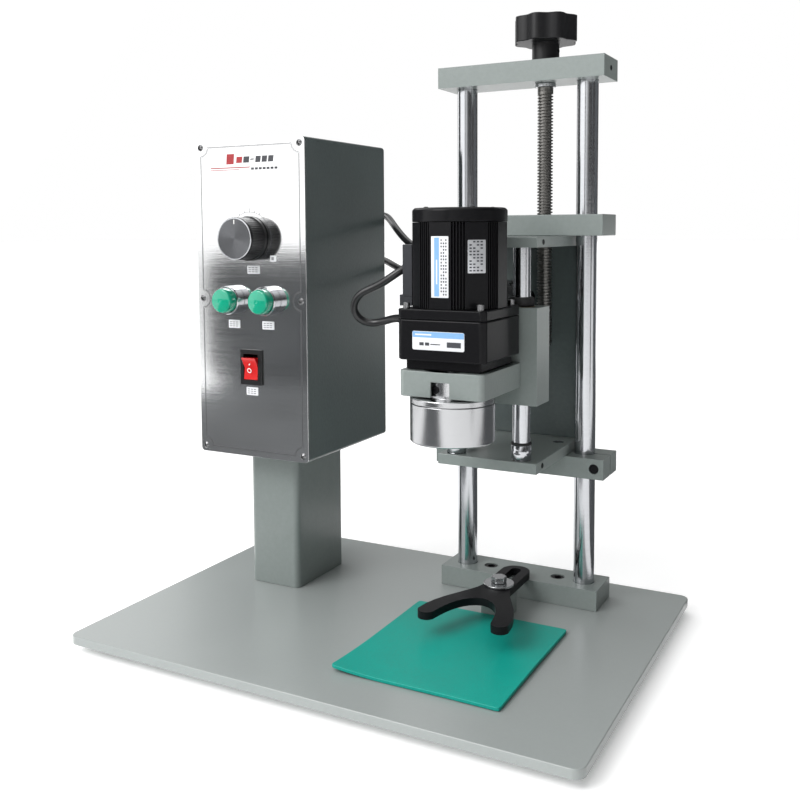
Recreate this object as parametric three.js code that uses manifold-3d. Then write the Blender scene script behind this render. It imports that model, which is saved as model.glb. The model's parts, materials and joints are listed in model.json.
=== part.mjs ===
// A bench-top screw capping machine: a control box on a post, and a twin-rod column that carries
// a motor-driven capping chuck over a bottle stop and a rubber mat.
// Millimetres, +Z up, +X to the right, +Y to the back. The origin is on the floor, under the
// middle of the base plate. Inside the machine group, Z = 0 is the top of the base plate.
import * as THREE from "three";
import { NURBSCurve } from "three/addons/curves/NURBSCurve.js";
import { mergeVertices } from "three/addons/utils/BufferGeometryUtils.js";
import Module from "manifold-3d";

const wasm = await Module();
wasm.setup();

// ---------------------------------------------------------------- driving dimensions
const GAP = 0.3; // between pieces that touch
const SLIDE_GAP = 0.1; // round a shaft that slides in its bore
const ROUND = 24; // sides of a round piece

const PLATE = { width: 480, depth: 350, thickness: 8, corner: 9 };
const FOOT = { radius: 15, height: 8, inset: 32 };

const POST = { x: -146, y: 58, width: 58, depth: 88, height: 141, wall: 3, corner: 6 };
const BOX = { x: -146, width: 130, front: -19, back: 135, bottom: 141, top: 453, wall: 2, corner: 4 };
const PANEL = { thickness: 1.5, screwInset: 6, screwHole: 1.8 };
const BOX_HEIGHT = BOX.top - BOX.bottom;
const BOX_MIDDLE = (BOX.top + BOX.bottom) / 2;
const PANEL_BACK = BOX.front + PANEL.thickness;

const KNOB = { z: 357, radius: 20.5, skirt: 21.6, length: 25, spindle: 3 };
const BUTTON = { z: 296.5, offset: 21.75, lens: 12, bezel: 14.25, barrel: 10.9, proud: 22 };
const ROCKER = { z: 230.5, width: 25, height: 35, lean: 11 };
const INLET = { x: -172, z: 186 };
const GLAND = { x: -128, upperZ: 384, lowerZ: 336, bore: 4.2 };

const COLUMN = { x: 88, y: 116 };
const GUIDE = { offset: 62, radius: 10, blind: 14 };
const BAR = { depth: 45, thickness: 20 };
const FOOT_BLOCK_WIDTH = 163;
const TOP_BAR = { width: 168, z: 504 };
const MIDDLE_BAR = { width: 168, z: 358 };
const CLAMP_BAR = { width: 174, z: 128, slit: 2.4, boltX: 77.6 };
const SCREW = { x: 20, radius: 7.5, journal: 6, bottom: 250 };
const WHEEL = { radius: 29, lobe: 2, lobes: 8, bottom: 542, top: 566, hub: 13 };

const SHELF = { left: -46, right: 50, front: -104, back: 22.5, thickness: 10 };
const LOWER_SHELF_Z = CLAMP_BAR.z + BAR.thickness;
const UPPER_SHELF_Z = MIDDLE_BAR.z - SHELF.thickness;
const BACK_PLATE_DEPTH = 8;
const SLIDE_ROD = { offset: 32, y: -93, radius: 8, blind: 8 };

const SLIDER = { width: 104, depth: 32, bottom: 210, top: 296 };
const BUSHING_RADIUS = 12;
const RACK = { module: 2, teeth: 20, addendum: 1.6, dedendum: 2.1, backlash: 0.3, angle: 20 };
const PITCH_RADIUS = (RACK.module * RACK.teeth) / 2;
const PINION = { x: -4, y: -52, width: 12, z: 296, shaft: 5 };
const RACK_SPAN = { bottom: 232, top: 333, back: -38 };
const LIFT = { x: -4, width: 52, bottom: 268, top: 320, motorRadius: 15.5, motorBottom: 200 };

const MOTOR = { x: -1.5, y: -152.5, size: 80, corner: 4 };
const MOTOR_PLATE = { width: 77, front: -192.5, bottom: 226, top: 248 };
const GEARBOX = { bottom: 256.5, top: 290.5, step: 68 };
const FLANGE_TOP = 299;
const BODY = { panel: 39, panelHalf: 10, fin: 39.8, root: 36.5, fins: 4, top: 370.5 };
const MOTOR_CAP = { radius: 40.3, top: 382.5 };
const TERMINAL = { left: -46, right: -30, half: 17, bottom: 308, top: 352 };
const TERMINAL_FOOT = { left: -49.5, half: 16, height: 8.5, leadX: -44.2, leadY: 11 };

const CHUCK = { y: -167.5, radius: 36, hub: 22, bottom: 187, split: 220, hubTop: 225 };
const SPINDLE = { radius: 6, top: 274 };

const FORK = { x: 88, y: 49, bottom: 21, thickness: 7, half: 14, slot: 5 };
const FORK_POST = { size: 26, height: 20.7 };
const MAT = { left: 10, right: 160, front: -127, back: 35.5, thickness: 3 };
const LEAD_RADIUS = 3.6;
const CLIP = { x: 28, y: 39, z: 340, bore: 4.4, outer: 7.4, length: 10 };

// Control points of the smooth curve that each lead follows.
const UPPER_LEAD = [
  [-128, 144, 384],
  [-128, 147, 384],
  [-128, 152, 384],
  [-126, 163, 384],
  [-115, 171.5, 383],
  [-99, 170.5, 381],
  [-84, 152, 377],
  [-64, 128, 367.5],
  [-46, 108, 359],
  [-27, 91, 349.5],
  [-9, 83, 344],
  [8, 79, 341],
  [21, 73, 340],
  [27, 61, 340],
  [28, 50, 340],
  [28, 43, 340],
  [28, 39.15, 340],
];
const LOWER_LEAD = [
  [28, 38.85, 340],
  [28, 36, 340],
  [28, 30, 340],
  [29, 15, 339.5],
  [26, -3, 335],
  [14, -13, 326],
  [-1, -14, 316],
  [-11, -14, 311.5],
  [-20, -15, 308],
  [-28, -16, 302],
  [-32, -14.5, 293],
  [-31, -10.5, 284],
  [-25, -5.5, 278.5],
  [-15, -2.5, 277.5],
  [-4, -3, 280.5],
  [8, -7, 284],
  [18, -11.5, 284],
  [27, -16, 281.5],
  [35, -20.5, 281.5],
  [40.5, -24.2, 286.5],
  [42.2, -25.4, 294],
  [42.3, -25.5, 300.5],
  [42.3, -25.5, 304],
];
const LIFT_LEAD = [
  [-128, 144, 336],
  [-128, 147, 336],
  [-128, 152, 336],
  [-126, 163, 336],
  [-115, 171.5, 334],
  [-98, 169, 330.5],
  [-80, 154, 325],
  [-52, 147, 315],
  [-22, 150, 305],
  [8, 154, 297],
  [38, 155.5, 293],
  [52, 155.5, 293],
  [62, 155.5, 293],
];

// ---------------------------------------------------------------- materials
function finish(color, roughness, metalness = 0) {
  return { color, roughness, metalness };
}

const HAMMER_GREY = finish(0x8b9a99, 0.5, 0.1);
const STAINLESS = finish(0xc9ccce, 0.12, 1);
const GROUND_STEEL = finish(0xd8dade, 0.15, 1);
const ZINC = finish(0xb9bcc0, 0.35, 1);
const ALUMINIUM = finish(0xc4c7ca, 0.35, 1);
const BRASS = finish(0xb08d4a, 0.4, 1);
const BLACK_PAINT = finish(0x141417, 0.4, 0.1);
const BLACK_PLASTIC = finish(0x101012, 0.5);
const GREY_CAST = finish(0x87908c, 0.6, 0.2);
const RUBBER = finish(0x1b1b1d, 0.85);
const RED_PLASTIC = finish(0xc01a14, 0.3);
const GREEN_LENS = finish(0x0f9a72, 0.2);
const GREEN_RUBBER = finish(0x15a08a, 0.7);
const BOARD_GREEN = finish(0x1f6b3a, 0.6);

// ---------------------------------------------------------------- geometry helpers
function at(geometry, x, y, z) {
  return geometry.translate(x, y, z);
}

// A block given by its lowest and highest corners.
function block(x0, x1, y0, y1, z0, z1) {
  const geometry = new THREE.BoxGeometry(x1 - x0, y1 - y0, z1 - z0);
  return at(geometry, (x0 + x1) / 2, (y0 + y1) / 2, (z0 + z1) / 2);
}

// A round bar along Z from z0 to z1.
function post(x, y, z0, z1, radius, sides = ROUND) {
  const geometry = new THREE.CylinderGeometry(radius, radius, z1 - z0, sides).rotateX(Math.PI / 2);
  return at(geometry, x, y, (z0 + z1) / 2);
}

// A round bar along Y from y0 to y1.
function pin(x, z, y0, y1, radius, sides = ROUND) {
  const geometry = new THREE.CylinderGeometry(radius, radius, y1 - y0, sides);
  return at(geometry, x, (y0 + y1) / 2, z);
}

// The radius of a many-sided bore that a turning shaft clears all round.
function turningBore(radius, clearance, sides = ROUND) {
  return (radius + clearance) / Math.cos(Math.PI / sides);
}

function roundedRectangle(width, height, radius) {
  const shape = new THREE.Shape();
  const x = width / 2;
  const y = height / 2;
  shape.moveTo(-x + radius, -y);
  shape.lineTo(x - radius, -y);
  shape.absarc(x - radius, -y + radius, radius, -Math.PI / 2, 0);
  shape.lineTo(x, y - radius);
  shape.absarc(x - radius, y - radius, radius, 0, Math.PI / 2);
  shape.lineTo(-x + radius, y);
  shape.absarc(-x + radius, y - radius, radius, Math.PI / 2, Math.PI);
  shape.lineTo(-x, -y + radius);
  shape.absarc(-x + radius, -y + radius, radius, Math.PI, 1.5 * Math.PI);
  return shape;
}

function chamferedSquare(size, chamfer) {
  const half = size / 2;
  const inner = half - chamfer;
  const corners = [
    [-inner, -half], [inner, -half], [half, -inner], [half, inner],
    [inner, half], [-inner, half], [-half, inner], [-half, -inner],
  ];
  return new THREE.Shape(corners.map(([x, y]) => new THREE.Vector2(x, y)));
}

function extrude(shape, depth, curveSegments = 4) {
  return new THREE.ExtrudeGeometry(shape, { depth, curveSegments, bevelEnabled: false });
}

// An outline drawn in X and Z, made solid from y0 to y1.
function extrudeAlongY(shape, y0, y1, curveSegments = 4) {
  return at(extrude(shape, y1 - y0, curveSegments).rotateX(Math.PI / 2), 0, y1, 0);
}

// Turns a profile of [radius, height] points round the Z axis. Heights rise along the outside.
function turned(profile, sides = ROUND) {
  const points = profile.map(([radius, height]) => new THREE.Vector2(radius, height));
  return new THREE.LatheGeometry(points, sides).rotateX(Math.PI / 2);
}

// The same, round an axis that points to the front, so heights count from the back to the front.
function turnedToFront(profile, sides = ROUND) {
  return turned(profile, sides).rotateX(Math.PI / 2);
}

// A round tube along a cubic spline that starts and ends on its first and last control points.
function tube(points) {
  const degree = 3;
  const spans = points.length - degree;
  const knots = Array.from({ length: points.length + degree + 1 },
    (_, i) => Math.min(Math.max(i - degree, 0), spans));
  const path = new NURBSCurve(degree, knots, points.map((p) => new THREE.Vector4(...p, 1)));
  const section = new THREE.Shape();
  section.absarc(0, 0, LEAD_RADIUS, 0, 2 * Math.PI);
  const steps = Math.round(path.getLength() / (LEAD_RADIUS * 4));
  return new THREE.ExtrudeGeometry(section, { extrudePath: path, steps, curveSegments: 5 });
}

function toSolid(geometry) {
  const bare = geometry.clone();
  bare.deleteAttribute("normal");
  bare.deleteAttribute("uv");
  const merged = mergeVertices(bare, 1e-4);
  return new wasm.Manifold(
    new wasm.Mesh({
      numProp: 3,
      vertProperties: merged.attributes.position.array,
      triVerts: new Uint32Array(merged.index.array),
    }),
  );
}

function toGeometry(solid) {
  const mesh = solid.getMesh();
  const geometry = new THREE.BufferGeometry();
  geometry.setAttribute("position", new THREE.BufferAttribute(new Float32Array(mesh.vertProperties), 3));
  geometry.setIndex(new THREE.BufferAttribute(new Uint32Array(mesh.triVerts), 1));
  const faceted = geometry.toNonIndexed();
  faceted.computeVertexNormals();
  return faceted;
}

function join(...geometries) {
  return toGeometry(geometries.map(toSolid).reduce((all, next) => all.add(next)));
}

function cut(geometry, ...tools) {
  return toGeometry(tools.map(toSolid).reduce((left, tool) => left.subtract(tool), toSolid(geometry)));
}

function piece(parent, name, geometry, look) {
  const mesh = new THREE.Mesh(geometry, new THREE.MeshStandardMaterial(look));
  mesh.name = name;
  parent.add(mesh);
  return mesh;
}

function groupAt(parent, x, y, z) {
  const group = new THREE.Group();
  group.position.set(x, y, z);
  parent.add(group);
  return group;
}

const SIDES = [["left", -1], ["right", 1]];

// ---------------------------------------------------------------- base
function addBase(machine) {
  const plate = extrude(roundedRectangle(PLATE.width, PLATE.depth, PLATE.corner), PLATE.thickness);
  piece(machine, "base_plate", at(plate, 0, 0, -PLATE.thickness), HAMMER_GREY);

  const bottom = -PLATE.thickness - FOOT.height;
  const profile = [
    [0, bottom], [FOOT.radius - 3, bottom], [FOOT.radius - 1, bottom + 2],
    [FOOT.radius, -PLATE.thickness], [0, -PLATE.thickness],
  ];
  const x = PLATE.width / 2 - FOOT.inset;
  const y = PLATE.depth / 2 - FOOT.inset;
  const places = { front_left: [-x, -y], front_right: [x, -y], back_left: [-x, y], back_right: [x, y] };
  for (const [corner, [footX, footY]] of Object.entries(places)) {
    piece(groupAt(machine, footX, footY, 0), `rubber_foot_${corner}`, turned(profile), RUBBER);
  }

  const mat = block(MAT.left, MAT.right, MAT.front, MAT.back, GAP, GAP + MAT.thickness);
  piece(machine, "rubber_mat", mat, GREEN_RUBBER);
}

// ---------------------------------------------------------------- control box
function addControls(machine) {
  const tubeOutside = extrude(roundedRectangle(POST.width, POST.depth, POST.corner), POST.height - 2 * GAP);
  const bore = roundedRectangle(
    POST.width - 2 * POST.wall, POST.depth - 2 * POST.wall, POST.corner - POST.wall);
  const tubeInside = at(extrude(bore, POST.height + 2), 0, 0, -1);
  piece(groupAt(machine, POST.x, POST.y, GAP), "box_post", cut(tubeOutside, tubeInside), HAMMER_GREY);

  const box = groupAt(machine, BOX.x, 0, BOX_MIDDLE);
  const glandX = GLAND.x - BOX.x;
  const glandHoles = [GLAND.upperZ, GLAND.lowerZ].map(
    (z) => pin(glandX, z - BOX_MIDDLE, BOX.back - 5, BOX.back + 5, 7.5));
  const inletX = INLET.x - BOX.x;
  const inletZ = INLET.z - BOX_MIDDLE;
  const lip = 12;
  const shell = cut(
    extrudeAlongY(roundedRectangle(BOX.width, BOX_HEIGHT, BOX.corner), PANEL_BACK + GAP, BOX.back),
    extrudeAlongY(
      roundedRectangle(BOX.width - 2 * BOX.wall, BOX_HEIGHT - 2 * BOX.wall, BOX.corner - BOX.wall),
      PANEL_BACK + GAP + BOX.wall, BOX.back - BOX.wall),
    block(-BOX.width / 2 + lip, BOX.width / 2 - lip, BOX.front, BOX.back / 2,
      -BOX_HEIGHT / 2 + lip, BOX_HEIGHT / 2 - lip),
    ...glandHoles,
    block(inletX - 14.5, inletX + 14.5, BOX.back - 5, BOX.back + 5, inletZ - 10.5, inletZ + 10.5),
  );
  piece(box, "box_shell", shell, HAMMER_GREY);

  const screwX = BOX.width / 2 - PANEL.screwInset;
  const screwZ = BOX_HEIGHT / 2 - PANEL.screwInset;
  const screwHoles = [-screwX, screwX].flatMap((x) =>
    [-screwZ, 0, screwZ].map((z) => pin(x, z, BOX.front - 1, PANEL_BACK + 1, PANEL.screwHole, 12)));
  const panel = cut(
    extrudeAlongY(roundedRectangle(BOX.width, BOX_HEIGHT, BOX.corner), BOX.front, PANEL_BACK),
    pin(0, KNOB.z - BOX_MIDDLE, BOX.front - 1, PANEL_BACK + 1, 5.1),
    ...SIDES.map(([, side]) =>
      pin(side * BUTTON.offset, BUTTON.z - BOX_MIDDLE, BOX.front - 1, PANEL_BACK + 1, BUTTON.barrel + GAP)),
    block(-10.8, 10.8, BOX.front - 1, PANEL_BACK + 1,
      ROCKER.z - BOX_MIDDLE - 15.6, ROCKER.z - BOX_MIDDLE + 15.6),
    ...screwHoles,
  );
  piece(box, "control_panel", panel, STAINLESS);

  addKnob(machine);
  for (const [name, side] of SIDES) addButton(machine, name, side);
  addRocker(machine);
  addBoxInsides(machine);
}

// Heights along the turned profiles of the controls count from the panel's front, to the front.
function addKnob(machine) {
  const behind = PANEL.thickness + GAP;
  const front = 3.2;
  const potentiometer = turnedToFront([
    [0, -15], [14, -15], [14, -behind], [4.75, -behind], [4.75, front],
    [KNOB.spindle + 0.4, front], [KNOB.spindle + 0.4, -11], [0, -11],
  ]);
  piece(groupAt(machine, BOX.x, BOX.front, KNOB.z), "potentiometer", potentiometer, ZINC);

  const knob = turnedToFront([
    [0, -9], [KNOB.spindle, -9], [KNOB.spindle, 5.5], [9, 5.5], [9, 0.6], [KNOB.skirt, 0.6],
    [KNOB.skirt, 4.6], [KNOB.radius, 5.4], [KNOB.radius, KNOB.length - 1], [KNOB.radius - 1, KNOB.length],
    [0, KNOB.length],
  ]);
  piece(groupAt(machine, BOX.x, BOX.front, KNOB.z), "speed_knob", knob, BLACK_PLASTIC);
}

function addButton(machine, name, side) {
  const place = groupAt(machine, BOX.x + side * BUTTON.offset, BOX.front, BUTTON.z);
  const nutFront = -PANEL.thickness - GAP;
  const body = turnedToFront([
    [0, -38], [BUTTON.barrel, -38], [BUTTON.barrel, nutFront - 4], [14.5, nutFront - 4], [14.5, nutFront],
    [BUTTON.barrel, nutFront], [BUTTON.barrel, GAP], [BUTTON.bezel, GAP], [BUTTON.bezel, 9.7],
    [BUTTON.bezel - 0.8, 10.7], [BUTTON.lens + 0.4, 10.7], [BUTTON.lens + 0.4, 5.5], [8.5, 5.5], [8.5, -24],
    [0, -24],
  ]);
  piece(place, `button_body_${name}`, body, ZINC);
  const lens = turnedToFront([
    [0, -18], [8, -18], [8, 9], [BUTTON.lens, 9], [BUTTON.lens, BUTTON.proud - 5],
    [BUTTON.lens - 1.2, BUTTON.proud - 2.5], [BUTTON.lens - 4.5, BUTTON.proud - 0.8], [0, BUTTON.proud],
  ]);
  piece(place, `button_lens_${name}`, lens, GREEN_LENS);
}

function addRocker(machine) {
  const place = groupAt(machine, BOX.x, BOX.front, ROCKER.z);
  const frame = cut(
    join(
      block(-ROCKER.width / 2, ROCKER.width / 2, -2.2 - GAP, -GAP, -ROCKER.height / 2, ROCKER.height / 2),
      block(-10.5, 10.5, -1, 20, -15.3, 15.3),
    ),
    block(-8.6, 8.6, -4, 14, -12.9, 12.9),
  );
  piece(place, "rocker_frame", frame, BLACK_PLASTIC);
  const corners = [[-7, -11.2], [4, -8.6], [7.5, 0], [4, 8.6], [-7, 11.2], [-3.6, 0]];
  const outline = new THREE.Shape(corners.map(([y, z]) => new THREE.Vector2(y, z)));
  const rocker = at(extrude(outline, 16.4), 0, 0, -8.2);
  rocker.applyMatrix4(new THREE.Matrix4().makeBasis(
    new THREE.Vector3(0, 1, 0), new THREE.Vector3(0, 0, 1), new THREE.Vector3(1, 0, 0)));
  const lever = groupAt(place, 0, 2, 0);
  lever.rotation.x = THREE.MathUtils.degToRad(ROCKER.lean);
  piece(lever, "power_rocker", rocker, RED_PLASTIC);
}

function addBoxInsides(machine) {
  const board = join(
    block(-201, -95, 100, 101.6, 232, 372),
    block(-195, -150, 76, 100.5, 240, 300),
    block(-140, -105, 82, 100.5, 330, 362),
    pin(-180, 335, 70, 100.5, 11, 12),
    pin(-118, 262, 74, 100.5, 9, 12),
    block(-135, -128, 92, 100.5, 245, 312),
  );
  piece(machine, "controller_board", board, BOARD_GREEN);
  const capacitor = join(
    block(-132, -96, 60, 84, 158, 208),
    block(-124, -120, 68, 76, 207, 214),
    block(-108, -104, 68, 76, 207, 214),
  );
  piece(machine, "run_capacitor", capacitor, GREY_CAST);

  const inlet = groupAt(machine, INLET.x, BOX.back, INLET.z);
  const socket = cut(
    join(block(-20, 20, GAP, 3.5, -14, 14), block(-14, 14, -22, 2, -10, 10)),
    block(-11.5, 11.5, -16, 5, -7.5, 7.5),
  );
  const prongEnd = -7;
  const prongs = [[-6.5, -3], [0, 0], [6.5, -3]].map(
    ([x, z]) => block(x - 1, x + 1, -17, prongEnd, z, z + 4));
  piece(inlet, "mains_inlet", join(socket, ...prongs), BLACK_PLASTIC);

  for (const [name, z] of [["upper", GLAND.upperZ], ["lower", GLAND.lowerZ]]) {
    const ring = turned([
      [GLAND.bore, -14], [7.1, -14], [7.1, GAP], [11, GAP], [11, 5], [9, 6], [9, 8.5], [6.5, 13],
      [GLAND.bore, 13], [GLAND.bore, -14],
    ]).rotateX(-Math.PI / 2);
    piece(groupAt(machine, GLAND.x, BOX.back, z), `cable_gland_${name}`, ring, BLACK_PLASTIC);
  }
}

// ---------------------------------------------------------------- column
function addColumn(machine) {
  const column = groupAt(machine, COLUMN.x, COLUMN.y, 0);
  const halfDepth = BAR.depth / 2;
  const rodHoles = (z0, z1, clearance) =>
    SIDES.map(([, side]) => post(side * GUIDE.offset, 0, z0, z1, GUIDE.radius + clearance));

  const footBlock = cut(
    block(-FOOT_BLOCK_WIDTH / 2, FOOT_BLOCK_WIDTH / 2, -halfDepth, halfDepth, GAP, BAR.thickness),
    ...rodHoles(-1, BAR.thickness + 1, GAP),
    ...SIDES.flatMap(([, side]) => [
      post(side * 35.5, 0, 12, BAR.thickness + 1, 7),
      post(side * 35.5, 0, -1, 13, 4.5),
    ]),
  );
  piece(column, "foot_block", footBlock, HAMMER_GREY);

  for (const [name, side] of SIDES) {
    const rod = post(side * GUIDE.offset, 0, GAP, TOP_BAR.z + GUIDE.blind, GUIDE.radius);
    piece(column, `guide_rod_${name}`, rod, GROUND_STEEL);
  }

  const topBar = cut(
    block(-TOP_BAR.width / 2, TOP_BAR.width / 2, -halfDepth, halfDepth, TOP_BAR.z, TOP_BAR.z + BAR.thickness),
    ...rodHoles(TOP_BAR.z - 1, TOP_BAR.z + GUIDE.blind + GAP, GAP),
    post(SCREW.x, 0, TOP_BAR.z - 1, TOP_BAR.z + BAR.thickness + 1, turningBore(SCREW.journal, 0.1)),
  );
  piece(column, "top_bar", topBar, HAMMER_GREY);

  addHeightScrew(column);
  addCarriage(column);
}

function addHeightScrew(column) {
  const screw = groupAt(column, SCREW.x, 0, 0);
  const shoulder = TOP_BAR.z - 4;
  const spindle = turned([
    [0, SCREW.bottom], [SCREW.radius - 1, SCREW.bottom], [SCREW.radius, SCREW.bottom + 1],
    [SCREW.radius, shoulder], [SCREW.journal, shoulder], [SCREW.journal, WHEEL.top - 8], [0, WHEEL.top - 8],
  ]);
  piece(screw, "lead_screw", spindle, ZINC);

  const bore = SCREW.journal + GAP;
  const collar = turned([
    [bore, shoulder + GAP], [10, shoulder + GAP], [10, TOP_BAR.z - GAP], [bore, TOP_BAR.z - GAP],
    [bore, shoulder + GAP],
  ]);
  piece(screw, "thrust_collar", collar, ZINC);

  const points = Array.from({ length: WHEEL.lobes * 6 }, (_, i) => {
    const angle = (2 * Math.PI * i) / (WHEEL.lobes * 6);
    const radius = WHEEL.radius + WHEEL.lobe * Math.cos(WHEEL.lobes * angle);
    return new THREE.Vector2(radius * Math.cos(angle), radius * Math.sin(angle));
  });
  const rim = at(extrude(new THREE.Shape(points), WHEEL.top - WHEEL.bottom), 0, 0, WHEEL.bottom);
  const hub = post(0, 0, TOP_BAR.z + BAR.thickness + GAP, WHEEL.bottom + 1, WHEEL.hub);
  const wheel = cut(join(rim, hub), post(0, 0, TOP_BAR.z, WHEEL.top - 8 + GAP, bore));
  piece(screw, "handwheel", wheel, BLACK_PLASTIC);
}

// ---------------------------------------------------------------- carriage
function addCarriage(column) {
  const carriage = groupAt(column, 0, 0, 0);
  const halfDepth = BAR.depth / 2;
  const slideHoles = (z) => SIDES.map(
    ([, side]) => post(side * GUIDE.offset, 0, z - 1, z + BAR.thickness + 1, GUIDE.radius + SLIDE_GAP));

  const middleBar = cut(
    block(-MIDDLE_BAR.width / 2, MIDDLE_BAR.width / 2, -halfDepth, halfDepth,
      MIDDLE_BAR.z, MIDDLE_BAR.z + BAR.thickness),
    ...slideHoles(MIDDLE_BAR.z),
    post(SCREW.x, 0, MIDDLE_BAR.z - 1, MIDDLE_BAR.z + BAR.thickness + 1,
      turningBore(SCREW.radius, SLIDE_GAP)),
  );
  piece(carriage, "middle_bar", middleBar, HAMMER_GREY);

  const end = CLAMP_BAR.width / 2;
  const boltZ = CLAMP_BAR.z + BAR.thickness / 2;
  const clampBar = cut(
    block(-end, end, -halfDepth, halfDepth, CLAMP_BAR.z, CLAMP_BAR.z + BAR.thickness - GAP),
    ...slideHoles(CLAMP_BAR.z),
    block(GUIDE.offset - GUIDE.radius - 7, end + 1, 0, CLAMP_BAR.slit,
      CLAMP_BAR.z - 1, CLAMP_BAR.z + BAR.thickness + 1),
    pin(CLAMP_BAR.boltX, boltZ, -halfDepth - 1, -halfDepth + 5.4, 4.7),
    pin(CLAMP_BAR.boltX, boltZ, -halfDepth + 5, 16, 2.8, 12),
  );
  piece(carriage, "clamp_bar", clampBar, HAMMER_GREY);
  const clampBolt = join(
    pin(CLAMP_BAR.boltX, boltZ, -halfDepth + 0.2, -halfDepth + 5.1, 4.25),
    pin(CLAMP_BAR.boltX, boltZ, -halfDepth + 5, 14, 2.5, 12),
  );
  piece(carriage, "clamp_bolt", clampBolt, BLACK_PAINT);

  addShelves(carriage);
  addLiftDrive(carriage);
  addClip(carriage);
  addHead(carriage);
}

function addShelves(carriage) {
  const seats = (z0, z1) => SIDES.map(
    ([, side]) => post(side * SLIDE_ROD.offset, SLIDE_ROD.y, z0, z1, SLIDE_ROD.radius + GAP));
  const countersunk = [-34, 38].flatMap((x) => [
    post(x, -8, LOWER_SHELF_Z - 1, LOWER_SHELF_Z + SHELF.thickness + 1, 3.2, 12),
    post(x, -8, LOWER_SHELF_Z + SHELF.thickness - 3, LOWER_SHELF_Z + SHELF.thickness + 1, 5.6, 16),
  ]);
  const lowerTop = LOWER_SHELF_Z + SHELF.thickness;
  const lower = cut(
    block(SHELF.left, SHELF.right, SHELF.front, SHELF.back, LOWER_SHELF_Z, lowerTop - GAP),
    ...seats(lowerTop - SLIDE_ROD.blind, lowerTop + 1),
    ...countersunk,
  );
  piece(carriage, "lower_shelf", lower, HAMMER_GREY);

  const upper = cut(
    block(SHELF.left, SHELF.right, SHELF.front, SHELF.back, UPPER_SHELF_Z + GAP, MIDDLE_BAR.z - GAP),
    ...seats(UPPER_SHELF_Z - 1, UPPER_SHELF_Z + SLIDE_ROD.blind),
    post(SCREW.x, 0, UPPER_SHELF_Z - 1, MIDDLE_BAR.z + 1, 9),
  );
  piece(carriage, "upper_shelf", upper, HAMMER_GREY);

  for (const [name, side] of SIDES) {
    const rod = post(side * SLIDE_ROD.offset, SLIDE_ROD.y, lowerTop - SLIDE_ROD.blind + GAP,
      UPPER_SHELF_Z + SLIDE_ROD.blind - GAP, SLIDE_ROD.radius);
    piece(carriage, `slide_rod_${name}`, rod, GROUND_STEEL);
  }

  const front = SHELF.back - BACK_PLATE_DEPTH;
  const backPlate = cut(
    block(SHELF.left, SHELF.right, front, SHELF.back, lowerTop, UPPER_SHELF_Z),
    pin(LIFT.x, PINION.z, front - 1, SHELF.back + 1, 9),
  );
  piece(carriage, "back_plate", backPlate, HAMMER_GREY);
}

function addLiftDrive(carriage) {
  const behind = SHELF.back + GAP;
  const motorY = behind + 17;
  const half = LIFT.width / 2;
  const gearbox = block(LIFT.x - half, LIFT.x + half, behind, behind + 34, LIFT.bottom, LIFT.top);
  const lead = new THREE.CylinderGeometry(GLAND.bore, GLAND.bore, 16, ROUND).rotateZ(Math.PI / 2);
  const drive = cut(
    join(
      gearbox,
      pin(LIFT.x, PINION.z, behind - BACK_PLATE_DEPTH - 2, behind + 1, 8.5),
      post(LIFT.x, motorY, LIFT.motorBottom, LIFT.bottom + 1, LIFT.motorRadius),
    ),
    pin(LIFT.x, PINION.z, behind - BACK_PLATE_DEPTH - 3, behind + 24, turningBore(PINION.shaft, 0.1)),
    at(lead, LIFT.x - half, 155.5 - COLUMN.y, 293),
  );
  piece(carriage, "lift_motor", drive, BLACK_PAINT);

  const gear = extrude(new THREE.Shape(pinionOutline()), PINION.width).rotateX(Math.PI / 2);
  const shaft = pin(0, 0, -1, behind + 22 - PINION.y - PINION.width, PINION.shaft);
  const pinion = groupAt(carriage, PINION.x, PINION.y + PINION.width, PINION.z);
  piece(pinion, "lift_pinion", join(gear, shaft), ZINC);
}

// Involute teeth. One tooth points to -X, where the rack is.
function pinionOutline() {
  const pressure = THREE.MathUtils.degToRad(RACK.angle);
  const base = PITCH_RADIUS * Math.cos(pressure);
  const tip = PITCH_RADIUS + RACK.addendum;
  const root = PITCH_RADIUS - RACK.dedendum;
  const involute = (radius) => Math.sqrt(Math.max((radius / base) ** 2 - 1, 0)) -
    Math.acos(Math.min(base / radius, 1));
  const halfPitchAngle = Math.PI / (2 * RACK.teeth) - RACK.backlash / (2 * PITCH_RADIUS);
  const halfAngle = (radius) => halfPitchAngle + involute(PITCH_RADIUS) - involute(Math.max(radius, base));
  const radii = [root, base, (base + PITCH_RADIUS) / 2, PITCH_RADIUS, (PITCH_RADIUS + tip) / 2, tip];
  const outline = [];
  for (let tooth = 0; tooth < RACK.teeth; tooth += 1) {
    const middle = Math.PI + (2 * Math.PI * tooth) / RACK.teeth;
    const flank = radii.map((radius) => [radius, halfAngle(radius)]);
    for (const [radius, half] of flank) {
      outline.push(new THREE.Vector2(radius * Math.cos(middle - half), radius * Math.sin(middle - half)));
    }
    for (const [radius, half] of flank.reverse()) {
      outline.push(new THREE.Vector2(radius * Math.cos(middle + half), radius * Math.sin(middle + half)));
    }
  }
  return outline;
}

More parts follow.
